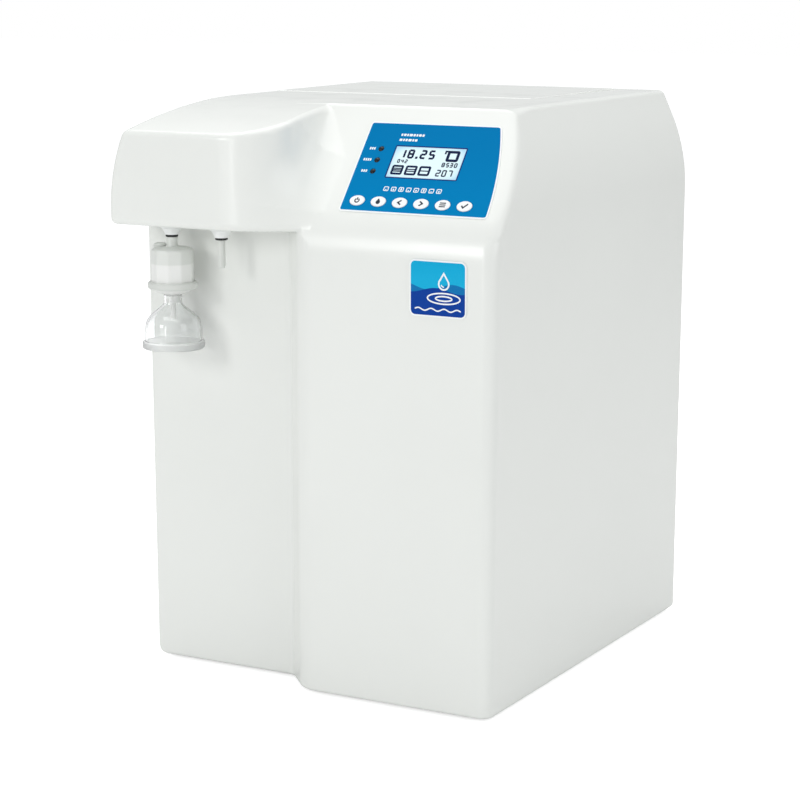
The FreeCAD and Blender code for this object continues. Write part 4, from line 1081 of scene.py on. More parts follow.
@dataclass
class Cabinet:
    """Moulded cabinet with its openings, wall thickness and rolled rims.

    The lid's field holds its opening's right side, its span from front to back and its lowest place; those of
    the back and the floor hold half the opening's width and its other span.
    """

    form: CabinetForm = field(default_factory=CabinetForm)
    net: SurfaceNet = field(default_factory=SurfaceNet)
    wall: float = 0.004
    roll: float = 0.0006
    roll_steps: tuple[int, ...] = (30, 60, 90)
    past: float = 0.4
    lid: tuple[float, Spot, float] = (0.112, (0.005, 0.188), 0.478)
    rear: tuple[float, Spot] = (0.156, (0.020, 0.470))
    rear_depth: float = 0.195
    floor: tuple[float, Spot] = (0.105, (-0.095, 0.130))
    floor_top: float = 0.008
    panel: tuple[Spot, Spot] = ((29.9, 153.1), (25.9, 98.1))
    hinge_xs: Spot = (-0.110, 0.060)
    hinge_half: float = 0.022
    hinge_y: Spot = (0.186, 0.196)
    hinge_low: float = 0.49
    outlets: tuple[Spot, ...] = ((-0.133, -0.2005), (-0.082, -0.2005))
    outlet_r: float = 0.0062
    outlet_z: Spot = (0.39, 0.41)
    ledge_y: Spot = (0.2009, 0.197)
    ledge: tuple[Box, ...] = ((-159, 159, 17, 473), (-147, 147, 29, 461))
    ledge_r: float = 4

    def openings(self) -> list[Opening]:
        """Every opening, wider by the roll of its rim.

        Returns:
            The openings of the lid, the back, the floor, the control panel, the lid's hinges and the outlets.
        """
        r, far = self.roll, self.past
        right, (front, back), low = self.lid
        side, (bottom, top) = self.rear
        half, (near, deep) = self.floor
        u, v = ((span[0] - r / MM, span[1] + r / MM) for span in self.panel)
        hinge = self.hinge_half + r
        return [Opening.block((-far, right + r), (front - r, back + r), (low - r, far * 2)),
                Opening.block((-side - r, side + r), (self.rear_depth, far), (bottom - r, top + r)),
                Opening.block((-half - r, half + r), (near - r, deep + r), (-far, self.floor_top)),
                Opening.window(CONTROL_FACE, u, v),
                *(Opening.block((x - hinge, x + hinge), (self.hinge_y[0], self.hinge_y[1] + r),
                                (self.hinge_low, far * 2)) for x in self.hinge_xs),
                *(Opening.hole(spot, self.outlet_r + r, self.outlet_z) for spot in self.outlets)]

    def skin(self) -> tuple[Array, list[list[int]]]:
        """The cabinet's outside with its openings cut.

        Returns:
            Points and faces.
        """
        points, quads = self.net.mesh(self.form.distance)
        skin = bmesh.new()
        made = [skin.verts.new(p) for p in self.form.settled(points)]
        for quad in quads:
            skin.faces.new([made[k] for k in quad])
        skin.normal_update()
        for opening in self.openings():
            opening.cut(skin)
        bmesh.ops.delete(skin, geom=[v for v in skin.verts if not v.link_faces], context="VERTS")
        skin.verts.index_update()
        points = np.array([v.co for v in skin.verts])
        faces = [[v.index for v in f.verts] for f in skin.faces]
        skin.free()
        return points, faces

    def rims(self, points: Array, normals: Array,
             faces: list[list[int]]) -> tuple[list[tuple[int, int]], dict[int, Array]]:
        """Find the openings' edges.

        Args:
            points: The skin's points.
            normals: The way out at each of them.
            faces: The skin's faces.

        Returns:
            The edges, and the way out of the wall's end at each of their points.
        """
        paired = {(a, b) for f in faces for a, b in zip(f, f[1:] + f[:1])}
        edges = [(a, b) for a, b in paired if (b, a) not in paired]
        sides: dict[int, list[Array]] = {}
        for a, b in edges:
            away = np.cross(points[b] - points[a], normals[a] + normals[b])
            size = np.linalg.norm(away)
            if size > 1e-12:
                for k in (a, b):
                    sides.setdefault(k, []).append(away / size)
        ways = {}
        for k, found in sides.items():
            way = sum(found)
            ways[k] = way / max(0.5, np.dot(way, found[0]))
        return sorted(edges), ways

    def build(self) -> None:
        """Give the skin its thickness and rolled rims, and hang it on the cabinet."""
        points, faces = self.skin()
        normals = self.form.outward(points)
        normals /= np.linalg.norm(normals, axis=1)[:, None]
        edges, ways = self.rims(points, normals, faces)
        count, ring = len(points), sorted(ways)
        number = {k: n for n, k in enumerate(ring)}
        places, facing = [points, points - normals * self.wall], [normals, -normals]
        everything = faces + [[k + count for k in reversed(f)] for f in faces]
        base, up, way = points[ring], normals[ring], np.array([ways[k] for k in ring])
        for angle in self.roll_steps:
            sine, cosine = math.sin(math.radians(angle)), math.cos(math.radians(angle))
            places.append(base + way * self.roll * sine - up * self.roll * (1 - cosine))
            facing.append(up * cosine + way * sine)
        places.append(base + way * self.roll - up * self.wall)
        facing.append(way)
        layers = [2 * count + n * len(ring) for n in range(len(self.roll_steps) + 1)]
        for a, b in edges:
            if a in number and b in number:
                steps = [(a, b), *((s + number[a], s + number[b]) for s in layers), (a + count, b + count)]
                everything += [[q[1], q[0], r[0], r[1]] for q, r in zip(steps, steps[1:])]
        piece = mesh_piece("cabinet_shell", np.concatenate(places), everything,
                           Slot.cabinet_plastic.value, smooth=True)
        facing = np.concatenate(facing)
        facing /= np.maximum(np.linalg.norm(facing, axis=1), 1e-9)[:, None]
        piece.data.normals_split_custom_set_from_vertices([tuple(n) for n in facing])
        place(piece, "cabinet", Slot.cabinet_plastic, ["housing_shell"])
        self.rebate()

    def rebate(self) -> None:
        """The ledge round the rear opening that the back panel is screwed to."""
        outer, inner = (rounded_box(*box, self.ledge_r) for box in self.ledge)
        points = [(u * MM, y, v * MM) for y in self.ledge_y for ring in (outer, inner) for u, v in ring]
        n, faces = len(outer), []
        for k in range(n):
            m = (k + 1) % n
            faces += [[k, n + k, n + m, m], [2 * n + m, 3 * n + m, 3 * n + k, 2 * n + k],
                      [m, 2 * n + m, 2 * n + k, k], [n + k, 3 * n + k, 3 * n + m, n + m]]
        ledge = mesh_piece("rear_ledge", points, faces, Slot.cabinet_plastic.value)
        place(ledge, "cabinet", Slot.cabinet_plastic)


# ---------------------------------------------------------------- control panel


@dataclass
class ControlPanel:
    """Blue overlay with its border and print, the display and the six keys.

    The field of a row of ornaments, lights or keys holds the first one's place and the pitch; a figure's
    holds its text, place, height and stroke.
    """

    left: float = 27.0
    right: float = 165.6
    bottom: float = 22.2
    top: float = 113.8
    middle: Spot = (161.1, 70.4)
    top_right: float = 149.7
    corner_r: float = 3.0
    face: float = 0.6
    ink: float = 0.07
    display: Box = (59.3, 125.8, 58.0, 89.9)
    window: float = 0.55
    ornaments: tuple[Spot, float] = ((64.4, 46.3), 7.1)
    marks: tuple[tuple[float, tuple[float, ...]], ...] = ((101.4, (1.6, 2.4, 1.6, 3.0, 2.0, 1.6, 2.6, 2.0)),
                                                          (96.2, (2.6, 1.6, 2.0, 3.0, 1.6, 2.4)))
    marks_left: float = 59.6
    lights: tuple[Spot, float] = ((45.5, 63.3), 11.5)
    figures: tuple[tuple[str, float, float, float, float], ...] = (
        ("18.25", 65.4, 78.6, 7.4, 1.9), ("042", 65.4, 73.2, 3.0, 0.9), ("85", 108.0, 71.0, 3.6, 1.0),
        ("30", 115.6, 71.0, 3.6, 1.0), ("207", 105.4, 61.6, 5.6, 1.2))
    level_boxes: tuple[tuple[float, int], ...] = ((62.6, 3), (75.6, 2), (88.4, 1))
    keys: tuple[Spot, float] = ((41.5, 33.1), 20.12)
    key_top: float = 1.1

    def outline(self, inset: float) -> list[Spot]:
        """The overlay's edge, its right side an arc through three points.

        Args:
            inset: Millimetres inside the edge.

        Returns:
            The outline, counter-clockwise.
        """
        (x0, y0), (x1, y1), (x2, y2) = (self.right, self.bottom), self.middle, (self.top_right, self.top)
        d = 2 * (x0 * (y1 - y2) + x1 * (y2 - y0) + x2 * (y0 - y1))
        s0, s1, s2 = x0 ** 2 + y0 ** 2, x1 ** 2 + y1 ** 2, x2 ** 2 + y2 ** 2
        cx = (s0 * (y1 - y2) + s1 * (y2 - y0) + s2 * (y0 - y1)) / d
        cy = (s0 * (x2 - x1) + s1 * (x0 - x2) + s2 * (x1 - x0)) / d
        radius = math.hypot(x0 - cx, y0 - cy) - inset
        low, high = self.bottom + inset, self.top - inset
        side = arc((cx, cy), radius, *(math.degrees(math.asin((v - cy) / radius))
                                       for v in (low + 2.6, high - 2.6)), 24)
        a, b = side[0][0], side[-1][0]
        near = [(a - 2.9, low), (a - 1.2, low + 0.35), (a - 0.25, low + 1.3)]
        far = [(b - 0.35, high - 1.5), (b - 1.5, high - 0.4), (b - 3.4, high)]
        r = self.corner_r - inset
        x = self.left + inset + r
        return ([(x, low)] + near + side + far + arc((x, high - r), r, 90, 180, 6)
                + arc((x, low + r), r, 180, 270, 6)[:-1])

    def on_overlay(self) -> Printing:
        """Ink on the overlay's face."""
        return Printing(CONTROL_FACE, self.face, self.face + self.ink)

    def overlay_marks(self) -> None:
        """The white border, and plain marks where print stands: ornaments, two rows of bars, and levels."""
        border = Printing(CONTROL_FACE, 0.02, self.face + self.ink).line(self.outline(0.45), 1.3, closed=True)
        border.hang("panel_border", WHITE_PRINT, Slot.panel_print)
        white = self.on_overlay()
        (left, v), pitch = self.ornaments
        for k in range(8):
            u = left + pitch * k
            white.box(u - 2.0, u + 2.0, v - 1.9, v + 1.9, 0.7, 0.75)
            white.box(u - 0.6, u + 0.6, v - 1.2, v - 1.2 + 0.8 * (k % 3 + 1), 0.25)
        for v, widths in self.marks:
            u = self.marks_left
            for wide in widths:
                white.box(u, u + wide, v - 1.15, v + 1.15, 0.45)
                u += wide + 0.75
        (right, low), pitch = self.lights
        for k in range(3):
            for n in range(3 + k % 2):
                u, v = right - 5.6 - 2.0 * n, low + pitch * k
                white.box(u - 1.4, u, v - 1.2, v + 1.2, 0.3)
        white.hang("panel_marks", WHITE_PRINT, Slot.panel_print)

    def lit_display(self) -> None:
        """The display's border, its lit face bonded to the back of the window, and its figures."""
        x0, x1, v0, v1 = self.display
        edge = self.on_overlay().box(x0 - 0.2, x1 + 0.2, v0 - 0.2, v1 + 0.2, 0.8, 1.1)
        edge.hang("display_border", FRAME_PRINT, Slot.panel_print)
        face = Printing(CONTROL_FACE, -0.08, self.window).box(x0 + 0.1, x1 - 0.1, v0 + 0.1, v1 - 0.1, 0.5)
        face.hang("display_window", Slot.display_module.value, Slot.display_module, stands_for=["lcd_window"])
        ink = Printing(CONTROL_FACE, self.window, self.window + 0.05)
        for figure in self.figures:
            ink.number(*figure)
        for left, bars in self.level_boxes:
            self.level_box(ink, left, bars)
        ink.box(110.6, 119.6, 77.4, 86.0, 0.8, 2.6)
        ink.line([(107.4, 83.6), (107.4, 86.4), (110.4, 86.4)], 1.6)
        ink.hang("display_figures", NAVY_PRINT, Slot.display_module)

    @staticmethod
    def level_box(ink: Printing, left: float, bars: int) -> None:
        """Print a square symbol with bars in it.

        Args:
            ink: The display's ink.
            left: The square's left side.
            bars: Number of bars.
        """
        right, low, high = left + 10.4, 61.2, 70.4
        ink.box(left + 0.7, right - 0.7, low + 0.7, high - 0.7, 0.8, 2.0)
        step = (high - low - 3.4) / (bars + 1)
        for n in range(bars):
            v = low + 1.7 + step * (n + 1)
            ink.box(left + 1.4, right - 1.4, v - 0.55, v + 0.55, 0.2)

    def key_signs(self) -> None:
        """One plain sign on each key, riding on it: power, drop, back, on, list and tick."""
        (left, v), pitch = self.keys
        for k in range(6):
            u = left + pitch * k
            sign = Printing(CONTROL_FACE, self.key_top, self.key_top + 0.06)
            if k == 0:
                sign.line(arc((u, v - 0.2), 1.9, 125, 415, 20), 1.1).line([(u, v + 0.2), (u, v + 2.6)], 1.1)
            elif k == 1:
                sign.droplet(u, v - 0.8, 6.0)
            elif k in (2, 3):
                way = 5 - 2 * k
                sign.line([(u + 1.4 * way, v - 2.2), (u - 1.4 * way, v), (u + 1.4 * way, v + 2.2)], 1.3)
            elif k == 4:
                for n in range(3):
                    sign.line([(u - 2.8, v - 1.8 + 1.8 * n), (u + 2.8, v - 1.8 + 1.8 * n)], 1.0)
            else:
                sign.line([(u - 2.6, v + 0.2), (u - 0.8, v - 1.8), (u + 2.8, v + 2.1)], 1.3)
            sign.hang(f"key_{k + 1}_sign", GREY_PRINT, Slot.key_plastic, f"key_{k + 1}")

    def build(self) -> None:
        """Print everything."""
        self.overlay_marks()
        self.lit_display()
        self.key_signs()


@dataclass
class FrontBadge:
    """Rounded decorative plate: a drop that falls into rings of water."""

    box: Box = (103.0, 155.3, 340.5, 387.0)
    face: float = 0.8
    ink: float = 0.08
    drop: float = 14.0
    rings: tuple[Spot, ...] = ((7.5, 1.9), (15.0, 4.4))

    def build(self) -> None:
        """Print the border and the line drawing."""
        x0, x1, z0, z1 = self.box
        top = self.face + self.ink
        border = Printing(FRONT_FACE, 0.05, top).box(x0 + 0.5, x1 - 0.5, z0 + 0.5, z1 - 0.5, 4.6, 1.3)
        border.hang("badge_border", WHITE_PRINT, Slot.badge_print)
        art = Printing(FRONT_FACE, self.face, top)
        u, v = (x0 + x1) / 2 + 5.5, z0 + 27.5
        art.droplet(u, v, self.drop, 1.4).line(arc((u, v), 2.4, 195, 275, 8), 0.9)
        for wide, high in self.rings:
            ring = [(u + wide * math.cos(a), z0 + 15.5 + high * math.sin(a))
                    for a in (2 * math.pi * n / 40 for n in range(40))]
            art.line(ring, 1.2, closed=True)
        art.wave(x0 + 5, x1 - 5, z0 + 6.0, 1.0, 12.0, 1.1)
        art.hang("badge_drawing", WHITE_PRINT, Slot.badge_print)


# ---------------------------------------------------------------- terminal filter


def flowing(points: Sequence[Spot], steps: int = 6) -> list[Spot]:
    """A smooth curve through points.

    Args:
        points: Places that it passes.
        steps: Chords between two of them.

    Returns:
        The curve's points.
    """
    path = [points[0], *points, points[-1]]
    curve = []
    for a, b, c, d in zip(path, path[1:], path[2:], path[3:]):
        for k in range(steps):
            t = k / steps
            curve.append(tuple(0.5 * (2 * q + (r - p) * t + (2 * p - 5 * q + 4 * r - s) * t * t
                                      + (3 * q - p - 3 * r + s) * t ** 3)
                               for p, q, r, s in zip(a, b, c, d)))
    return curve + [points[-1]]


@dataclass
class Turning:
    """Round pieces about an upright axis, with sizes in millimetres."""

    centre: Spot
    sides: int = 120
    points: list[Point] = field(default_factory=list)
    faces: list[list[int]] = field(default_factory=list)

    def ring(self, section: Sequence[Spot], swell: Optional[Callable[[float, float, float], float]] = None,
             offset: float = 0.0) -> "Turning":
        """Turn a closed section, given counter-clockwise with the radius first.

        Args:
            section: Radius and height of its corners.
            swell: Gives the radius from an angle, a radius and a height.
            offset: How far the axis stands to the right of the turning's own.

        Returns:
            The turning, for chaining.
        """
        x, y = self.centre[0] + offset, self.centre[1]
        first, count = len(self.points), len(section)
        for k in range(self.sides):
            angle = 2 * math.pi * k / self.sides
            for r, z in section:
                radius = swell(angle, r, z) if swell else r
                spot = (x + radius * math.cos(angle), y + radius * math.sin(angle), z)
                self.points.append(tuple(c * MM for c in spot))
        for k in range(self.sides):
            a, b = first + k * count, first + (k + 1) % self.sides * count
            self.faces += [[a + n, b + n, b + (n + 1) % count, a + (n + 1) % count] for n in range(count)]
        return self

    def hang(self, name: str, finish: Finish, slot: Slot, body: str, stands_for: str) -> None:
        """Make the turning a piece and hang it on its body."""
        place(shaded(mesh_piece(name, self.points, self.faces, finish)), body, slot, [stands_for])


@dataclass
class TerminalFilter:
    """Frosted capsule with ten facets, its vent plug, and the clear bell on its outlet."""

    centre: Spot = (-133.0, -200.5)
    vent: float = -12.5
    vent_radius: float = 6.0
    facets: int = 10
    facet_from: float = 17.5
    corner: float = 18.45
    first_corner: float = 4.5
    body: Spot = (349.0, 379.0)
    section: tuple[Spot, ...] = (
        (3.3, 391.1), (3.3, 381.0), (14.8, 380.0), (16.3, 377.8), (16.3, 351.6), (15.0, 349.6), (11.0, 346.8),
        (1.3, 346.3), (1.3, 319.0), (2.1, 319.0), (2.5, 319.5), (2.5, 334.0), (5.6, 334.0), (6.0, 334.4),
        (6.0, 341.0), (8.5, 341.4), (13.8, 343.4), (17.0, 346.2), (17.8, 347.6), (18.0, 348.6),
        (18.0, 350.0), (18.0, 356.0), (18.0, 364.0), (18.0, 372.0), (18.0, 378.0), (18.0, 379.4),
        (17.6, 380.6), (16.4, 381.5), (14.5, 382.1), (6.6, 382.7), (5.4, 383.2), (4.85, 384.3), (4.85, 391.1))
    bell_wall: float = 1.4
    bell_curve: tuple[Spot, ...] = ((7.8, 340.5), (7.8, 336.0), (8.0, 333.4), (9.6, 331.2), (15.6, 326.4),
                                    (20.6, 321.9), (23.5, 317.6), (24.7, 312.0), (24.9, 306.0), (24.9, 301.2))
    bell_rim: tuple[Spot, ...] = ((25.1, 300.6), (25.8, 300.3), (26.8, 300.1), (27.2, 299.6), (27.2, 295.4),
                                  (26.9, 294.5), (26.2, 294.0), (25.6, 294.1), (25.3, 294.6), (25.1, 298.8),
                                  (24.6, 299.8), (23.7, 300.6))

    def facet(self, angle: float, radius: float, height: float) -> float:
        """Bring a round body to its ten flats, with a fine ridge at each corner.

        Args:
            angle: Direction in radians.
            radius: Radius of the round body.
            height: Height, in millimetres.

        Returns:
            The radius there.
        """
        low, high = self.body
        share = max(0.0, min(1.0, (height - low + 1) / 2, (high - height + 1) / 2))
        if radius < self.facet_from or share == 0:
            return radius
        half = 180 // self.facets
        off = abs((math.degrees(angle) - self.first_corner + half) % (2 * half) - half)
        flat = self.corner * math.cos(math.radians(half)) / math.cos(math.radians(half - off))
        ridge = 0.14 * max(0.0, 1 - off / 2.5)
        return radius + (flat + ridge - radius) * share

    def capsule(self) -> None:
        """The capsule's wall, with the drip tube and the chamber inside, and its vent plug."""
        r = self.vent_radius
        boss = [(1.0, 382.9), (1.0, 376.0), (r, 376.0), (r, 382.6), (r - 0.3, 382.9)]
        plug = [(0.0, 381.2), (0.9, 381.2), (0.9, 383.2), (r - 0.2, 383.0), (r, 383.3), (r - 0.3, 384.2),
                (r - 1.2, 385.0), (r - 2.8, 385.5), (0.0, 385.8)]
        frosted = FrostedHousing("frosted_housing", tone(236, 239, 234), 0.34, 0.00002, clear=0.12, haze=0.1,
                                 inside=tone(248, 249, 246))
        wall = Turning(self.centre).ring(self.section, self.facet).ring(boss, offset=self.vent)
        wall.hang("filter_housing", frosted, Slot.frosted_plastic, "terminal_filter", "filter_capsule")
        Turning(self.centre, 48).ring(plug, offset=self.vent).hang(
            "filter_vent_plug", frosted, Slot.frosted_plastic, "vent_plug", "vent_cap")

    def bell(self) -> None:
        """The bell's smooth wall with its thick rolled rim."""
        outside = flowing(self.bell_curve)
        ends = [outside[0], *outside, outside[-1]]
        inside = []
        for before, (r, z), after in zip(ends, outside, ends[2:]):
            along = Vector((after[0] - before[0], after[1] - before[1])).normalized()
            inside.append((r + along.y * self.bell_wall, z - along.x * self.bell_wall))
        section = [*outside, *self.bell_rim, *reversed(inside)][::-1]
        Turning(self.centre).ring(section).hang("filling_bell_wall", Slot.clear_plastic.value,
                                                Slot.clear_plastic, "bell", "filling_bell")

    def build(self) -> None:
        """Make the capsule and the bell."""
        self.capsule()
        self.bell()


# ---------------------------------------------------------------- repeated pieces


class Geometry:
    """A geometry tree with named inputs, and the modifier that runs it."""

    def __init__(self, name: str, sizes: Mapping[str, float]) -> None:
        """Start a tree.

        Args:
            name: The tree's name.
            sizes: Named inputs with their values; whole numbers become integer inputs.
        """
        self.tree = bpy.data.node_groups.new(name, "GeometryNodeTree")
        self.graph = Graph(self.tree)
        self.sizes = dict(sizes)
        face = self.tree.interface
        face.new_socket("Places", in_out="INPUT", socket_type="NodeSocketGeometry")
        self.identifiers = {}
        for key, value in sizes.items():
            kind = "NodeSocketInt" if isinstance(value, int) else "NodeSocketFloat"
            self.identifiers[key] = face.new_socket(key, in_out="INPUT", socket_type=kind).identifier
        face.new_socket("Shape", in_out="OUTPUT", socket_type="NodeSocketGeometry")
        self.inlet = self.graph.add("NodeGroupInput")

    def size(self, name: str) -> Flow:
        """A named input."""
        return Flow(self.graph, self.inlet.outputs[name])

    def vector(self, x: Any = 0.0, y: Any = 0.0, z: Any = 0.0) -> Socket:
        """A vector from three numbers."""
        return self.graph.add("ShaderNodeCombineXYZ", None, {0: x, 1: y, 2: z}).outputs[0]

    def node(self, kind: str, settings: Mapping[str, Any], sockets: Mapping[Union[str, int], Any]) -> Socket:
        """The first result of a geometry node."""
        return self.graph.add("GeometryNode" + kind, settings, sockets).outputs[0]

    def moved(self, shape: Socket, move: Any = (0, 0, 0), turn: Any = (0, 0, 0),
              scale: Any = (1, 1, 1)) -> Socket:
        """A shape moved, turned and stretched."""
        return self.node("Transform", {}, {"Geometry": shape, "Translation": move, "Rotation": turn,
                                           "Scale": scale})

    def join(self, *shapes: Socket) -> Socket:
        """Put several shapes together.

        Args:
            shapes: The shapes.

        Returns:
            One shape.
        """
        node = self.graph.add("GeometryNodeJoinGeometry")
        for shape in shapes:
            self.tree.links.new(shape, node.inputs[0])
        return node.outputs[0]

    def aimed(self, points: Socket, shape: Socket, axis: str, heading: Socket) -> Socket:
        """A shape on each point, one of its axes turned along a heading."""
        turn = self.graph.add("FunctionNodeAlignRotationToVector", {"axis": axis}, {"Vector": heading})
        return self.node("InstanceOnPoints", {}, {"Points": points, "Instance": shape,
                                                  "Rotation": turn.outputs[0]})

    def places(self) -> Socket:
        """The points that the tree runs on."""
        return self.node("MeshToPoints", {}, {0: self.inlet.outputs["Places"]})

    def finish(self, shape: Socket, finish: Finish) -> None:
        """End the tree: real geometry with its material.

        Args:
            shape: What the tree gives.
            finish: Its surface.
        """
        real = self.node("RealizeInstances", {}, {"Geometry": shape})
        done = self.node("SetMaterial", {}, {"Geometry": real, "Material": finish.material()})
        self.graph.add("NodeGroupOutput", None, {0: done})

    def run(self, name: str, spots: Sequence[Sequence[float]], headings: Sequence[Sequence[float]] = (),
            **sizes: float) -> Thing:
        """Run the tree on points and keep the result as a plain mesh.

        Args:
            name: The piece's name.
            spots: Points in metres.
            headings: The direction at each point, kept in the attribute "heading".
            sizes: Input values other than the tree's own.

        Returns:
            The piece.
        """
        seed = bpy.data.meshes.new(name + "_places")
        seed.from_pydata([tuple(s) for s in spots], [], [])
        if headings:
            mark = seed.attributes.new("heading", "FLOAT_VECTOR", "POINT")
            mark.data.foreach_set("vector", [c for h in headings for c in h])
        carrier = linked(name + "_carrier", seed)
        modifier = carrier.modifiers.new("made", "NODES")
        modifier.node_group = self.tree
        for key, value in {**self.sizes, **sizes}.items():
            modifier[self.identifiers[key]] = value
        bpy.context.view_layer.update()
        seen = carrier.evaluated_get(bpy.context.evaluated_depsgraph_get())
        mesh = bpy.data.meshes.new_from_object(seen)
        mesh.name = name
        piece = linked(name, mesh)
        bpy.data.objects.remove(carrier)
        return piece


def shaded(piece: Thing, degrees: float = 35.0) -> Thing:
    """Shade a piece smooth, and keep its sharp edges.

    Args:
        piece: The piece.
        degrees: The smallest angle that stays sharp.

    Returns:
        The piece.
    """
    work = bmesh.new()
    work.from_mesh(piece.data)
    bmesh.ops.remove_doubles(work, verts=work.verts, dist=1e-7)
    bmesh.ops.delete(work, geom=[e for e in work.edges if not e.link_faces], context="EDGES")
    for edge in work.edges:
        edge.smooth = len(edge.link_faces) == 2 and edge.calc_face_angle(0.0) < math.radians(degrees)
    for f in work.faces:
        f.smooth = True
    work.to_mesh(piece.data)
    work.free()
    return piece


@dataclass
class PanHeadScrews:
    """Cross-recessed pan-head screws of the back panel and the floor, by one geometry tree."""

    head_radius: float = 0.0030
    head_height: float = 0.0019
    slot_length: float = 1.1
    slot_width: float = 0.26
    rear_y: float = 0.2025
    rear: tuple[Spot, ...] = ((-0.1515, 0.0245), (-0.1515, 0.4655), (0, 0.0245), (0, 0.4655),
                              (0.1515, 0.0245), (0.1515, 0.4655), (-0.1515, 0.245), (0.1515, 0.245))
    floor_z: float = 0.003
    floor: tuple[Spot, ...] = ((-0.112, -0.154), (-0.112, 0.140), (0.112, -0.154), (0.112, 0.140))

    def tree(self) -> Geometry:
        """Domed head with a cross cut into it, turned to each point's heading.

        Returns:
            The tree.
        """
        shape = Geometry("pan_head_screw", {"Head Radius": self.head_radius, "Head Height": self.head_height})
        radius, height = shape.size("Head Radius"), shape.size("Head Height")
        disc = shape.node("MeshCylinder", {"fill_type": "TRIANGLE_FAN"},
                          {"Vertices": 28, "Side Segments": 1, "Fill Segments": 4, "Radius": radius,
                           "Depth": height})
        x, y, z = shape.graph.axes(shape.node("InputPosition", {}, {}))
        drop = height * 0.55 * ((x * x + y * y) / (radius * radius)) ** 1.6 * (z > 0.0)
        disc = shape.node("SetPosition", {}, {"Geometry": disc, "Offset": shape.vector(z=0.0 - drop)})
        slot = shape.node("MeshCube", {}, {"Size": shape.vector(radius * self.slot_length,
                                                              radius * self.slot_width, height)})
        lifted = shape.vector(z=height)
        cross = shape.join(shape.moved(slot, lifted), shape.moved(slot, lifted, (0, 0, math.pi / 2)))
        head = shape.node("MeshBoolean", {"operation": "DIFFERENCE"},
                         {0: shape.moved(disc, shape.vector(z=height * 0.5)), 1: cross})
        heading = shape.node("InputNamedAttribute", {"data_type": "FLOAT_VECTOR"}, {"Name": "heading"})
        shape.finish(shape.aimed(shape.places(), head, "Z", heading), Slot.fastener_steel.value)
        return shape

    def build(self) -> None:
        """Drive every screw."""
        spots = [(x, self.rear_y, z) for x, z in self.rear] + [(x, y, self.floor_z) for x, y in self.floor]
        headings = [(0, 1, 0)] * len(self.rear) + [(0, 0, -1)] * len(self.floor)
        place(shaded(self.tree().run("screw_heads", spots, headings)), "cabinet", Slot.fastener_steel)


@dataclass
class Grips:
    """Ribbed grips of the cartridges' caps, by one geometry tree."""

    count: int = 36
    width: float = 0.0016
    depth: float = 0.0012
    height: float = 0.022
    below_top: float = 0.0195
    caps: tuple[tuple[str, float, float, float, float], ...] = (
        ("sediment", -0.006, 0.150, 0.027, 0.270), ("carbon_block", -0.072, 0.150, 0.027, 0.270),
        ("carbon_granule", -0.138, 0.150, 0.027, 0.270), ("membrane", -0.138, 0.075, 0.032, 0.330),
        ("deioniser_1", -0.062, 0.075, 0.037, 0.330), ("deioniser_2", 0.022, 0.075, 0.037, 0.330))

    def tree(self) -> Geometry:
        """A ring of upright ribs.

        Returns:
            The tree.
        """
        shape = Geometry("rib_ring", {"Count": self.count, "Ring Radius": 0.02, "Rib Width": self.width,
                                     "Rib Depth": self.depth, "Rib Height": self.height})
        circle = shape.node("MeshCircle", {}, {"Vertices": shape.size("Count"),
                                               "Radius": shape.size("Ring Radius")})
        rib = shape.node("MeshCylinder", {"fill_type": "NGON"},
                        {"Vertices": 8, "Radius": 0.5, "Depth": shape.size("Rib Height")})
        rib = shape.moved(rib, scale=shape.vector(shape.size("Rib Depth"), shape.size("Rib Width"), 1.0))
        ring = shape.aimed(circle, rib, "X", shape.node("InputPosition", {}, {}))
        many = shape.node("InstanceOnPoints", {}, {"Points": shape.places(), "Instance": ring})
        shape.finish(many, Slot.cartridge_plastic.value)
        return shape

    def build(self) -> None:
        """Make a ring for each cap."""
        tree = self.tree()
        for name, x, y, radius, top in self.caps:
            cap = tree.run(f"{name}_cap_grip", [(x, y, top - self.below_top)], **{"Ring Radius": radius})
            place(shaded(cap, 50), "cabinet", Slot.cartridge_plastic)


# ---------------------------------------------------------------- studio


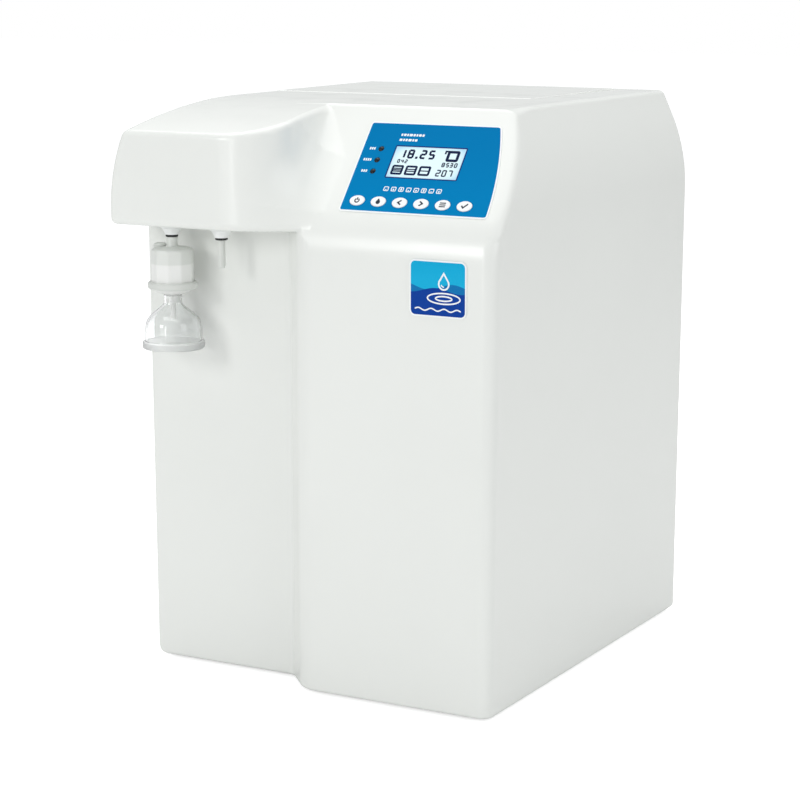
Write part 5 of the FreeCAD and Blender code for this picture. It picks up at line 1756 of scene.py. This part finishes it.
@dataclass
class Studio:
    """White floor, soft light and the camera.

    A lamp's row holds its direction round and above the object, its distance, width, height and watts.
    """

    azimuth: float = 28.795
    elevation: float = 10.751
    distance: float = 2.20015
    target: Point = (-0.01795, 0.0, 0.22445)
    lens: float = 2369.2 * 36 / 800
    aim: Point = (0, 0, 0.33)
    ambient: float = 0.515
    tint: Colour = (0.97, 0.985, 1.0)
    floor_glow: float = 0.66
    floor_size: float = 12.0
    lamps: tuple[tuple[str, float, float, float, float, float, float], ...] = (
        ("key_lamp", -20, 18, 2.6, 0.60, 0.60, 10.0), ("fill_lamp", -12, 4, 2.4, 1.0, 1.0, 2.8),
        ("roof_lamp", -131, 51, 2.6, 1.0, 1.0, 5.0), ("side_lamp", 80, 20, 3.0, 2.0, 2.0, 16.0),
        ("top_lamp", 190, 83, 2.4, 2.9, 2.9, 43.0), ("strip_lamp", -3, 6, 1.6, 0.12, 0.8, 1.2))

    @staticmethod
    def stand(name: str, data: bpy.types.ID, azimuth: float, elevation: float, distance: float,
              target: Point) -> Thing:
        """Stand a camera or lamp round the object, and face it.

        Args:
            name: Its name.
            data: The camera or light.
            azimuth: Degrees round the object; 0 is in front and 90 on the right.
            elevation: Degrees above the level.
            distance: Metres from the target.
            target: What it faces.

        Returns:
            The object.
        """
        made = linked(name, data)
        a, e = math.radians(azimuth), math.radians(elevation)
        back = Vector((math.sin(a) * math.cos(e), -math.cos(a) * math.cos(e), math.sin(e)))
        made.location = Vector(target) + back * distance
        made.rotation_mode = "QUATERNION"
        made.rotation_quaternion = back.to_track_quat("Z", "Y")
        return made

    def camera(self) -> None:
        """Put the camera in front, a little to the right and above."""
        data = bpy.data.cameras.new("camera")
        data.lens, data.sensor_width = self.lens, 36.0
        data.clip_start, data.clip_end = 0.05, 100.0
        bpy.context.scene.camera = self.stand("camera", data, self.azimuth, self.elevation, self.distance,
                                              self.target)

    def light(self) -> None:
        """Hang the soft lamps, square where width and height are the same."""
        for name, azimuth, elevation, distance, width, height, watts in self.lamps:
            data = bpy.data.lights.new(name, "AREA")
            data.size, data.energy = width, watts
            if height != width:
                data.shape, data.size_y = "RECTANGLE", height
            self.stand(name, data, azimuth, elevation, distance, self.aim)

    def world(self) -> None:
        """Even ambient light, and white where the camera sees past the object or through clear plastic."""
        world = bpy.data.worlds.new("studio")
        world.use_nodes = True
        graph = Graph(world.node_tree)
        dim = graph.add("ShaderNodeBackground", None, {"Color": self.tint, "Strength": self.ambient})
        white = graph.add("ShaderNodeBackground", None, {"Color": (1, 1, 1), "Strength": 1.0})
        both = graph.add("ShaderNodeMixShader", None, {0: graph.seen(), 1: dim.outputs[0],
                                                       2: white.outputs[0]})
        graph.add("ShaderNodeOutputWorld", None, {"Surface": both.outputs[0]})
        bpy.context.scene.world = world

    def floor(self) -> None:
        """A wide white floor that keeps the object's soft shadow."""
        material = bpy.data.materials.new("studio_floor")
        material.use_nodes = True
        graph = Graph(material.node_tree)
        matt = graph.add("ShaderNodeBsdfDiffuse", None, {"Color": (0.86, 0.86, 0.86)}).outputs[0]
        glow = graph.add("ShaderNodeEmission", None, {"Color": (1, 1, 1), "Strength": self.floor_glow})
        lit = graph.add("ShaderNodeAddShader", None, {0: matt, 1: glow.outputs[0]}).outputs[0]
        both = graph.add("ShaderNodeMixShader", None, {0: graph.seen(), 1: matt, 2: lit})
        graph.add("ShaderNodeOutputMaterial", None, {"Surface": both.outputs[0]})
        mesh = bpy.data.meshes.new("floor")
        far = self.floor_size
        ends = [(-far, -far, 0), (far, -far, 0), (far, far, 0), (-far, far, 0)]
        mesh.from_pydata(ends, [], [(0, 1, 2, 3)])
        mesh.materials.append(material)
        linked("floor", mesh)

    def build(self) -> None:
        """Set the scene."""
        self.camera()
        self.world()
        self.floor()
        self.light()
        bpy.context.scene.view_settings.view_transform = "Standard"


# ---------------------------------------------------------------- assembly


def dress_nodes() -> None:
    """Give every CAD node the finish of its material slot."""
    slots = {part["node"]: part["material_slot"] for part in frame["record"]["subparts"]}
    for name, node in frame["nodes"].items():
        for holder in node.material_slots:
            holder.material = Slot[slots[name]].value.material()
        LOG.info("%s is finished in %s", name, slots[name])


def corners(box: tuple[Vector, Vector]) -> list[list[float]]:
    """A box's two corners as plain numbers."""
    return [[float(c) for c in corner] for corner in box]


def main() -> None:
    """Build the scene in order."""
    logging.basicConfig(level=logging.INFO, format="%(name)s: %(message)s")
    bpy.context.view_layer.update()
    Studio().build()
    dress_nodes()
    Cabinet().build()
    ControlPanel().build()
    FrontBadge().build()
    TerminalFilter().build()
    PanHeadScrews().build()
    Grips().build()


if __name__ == "__main__":
    main()
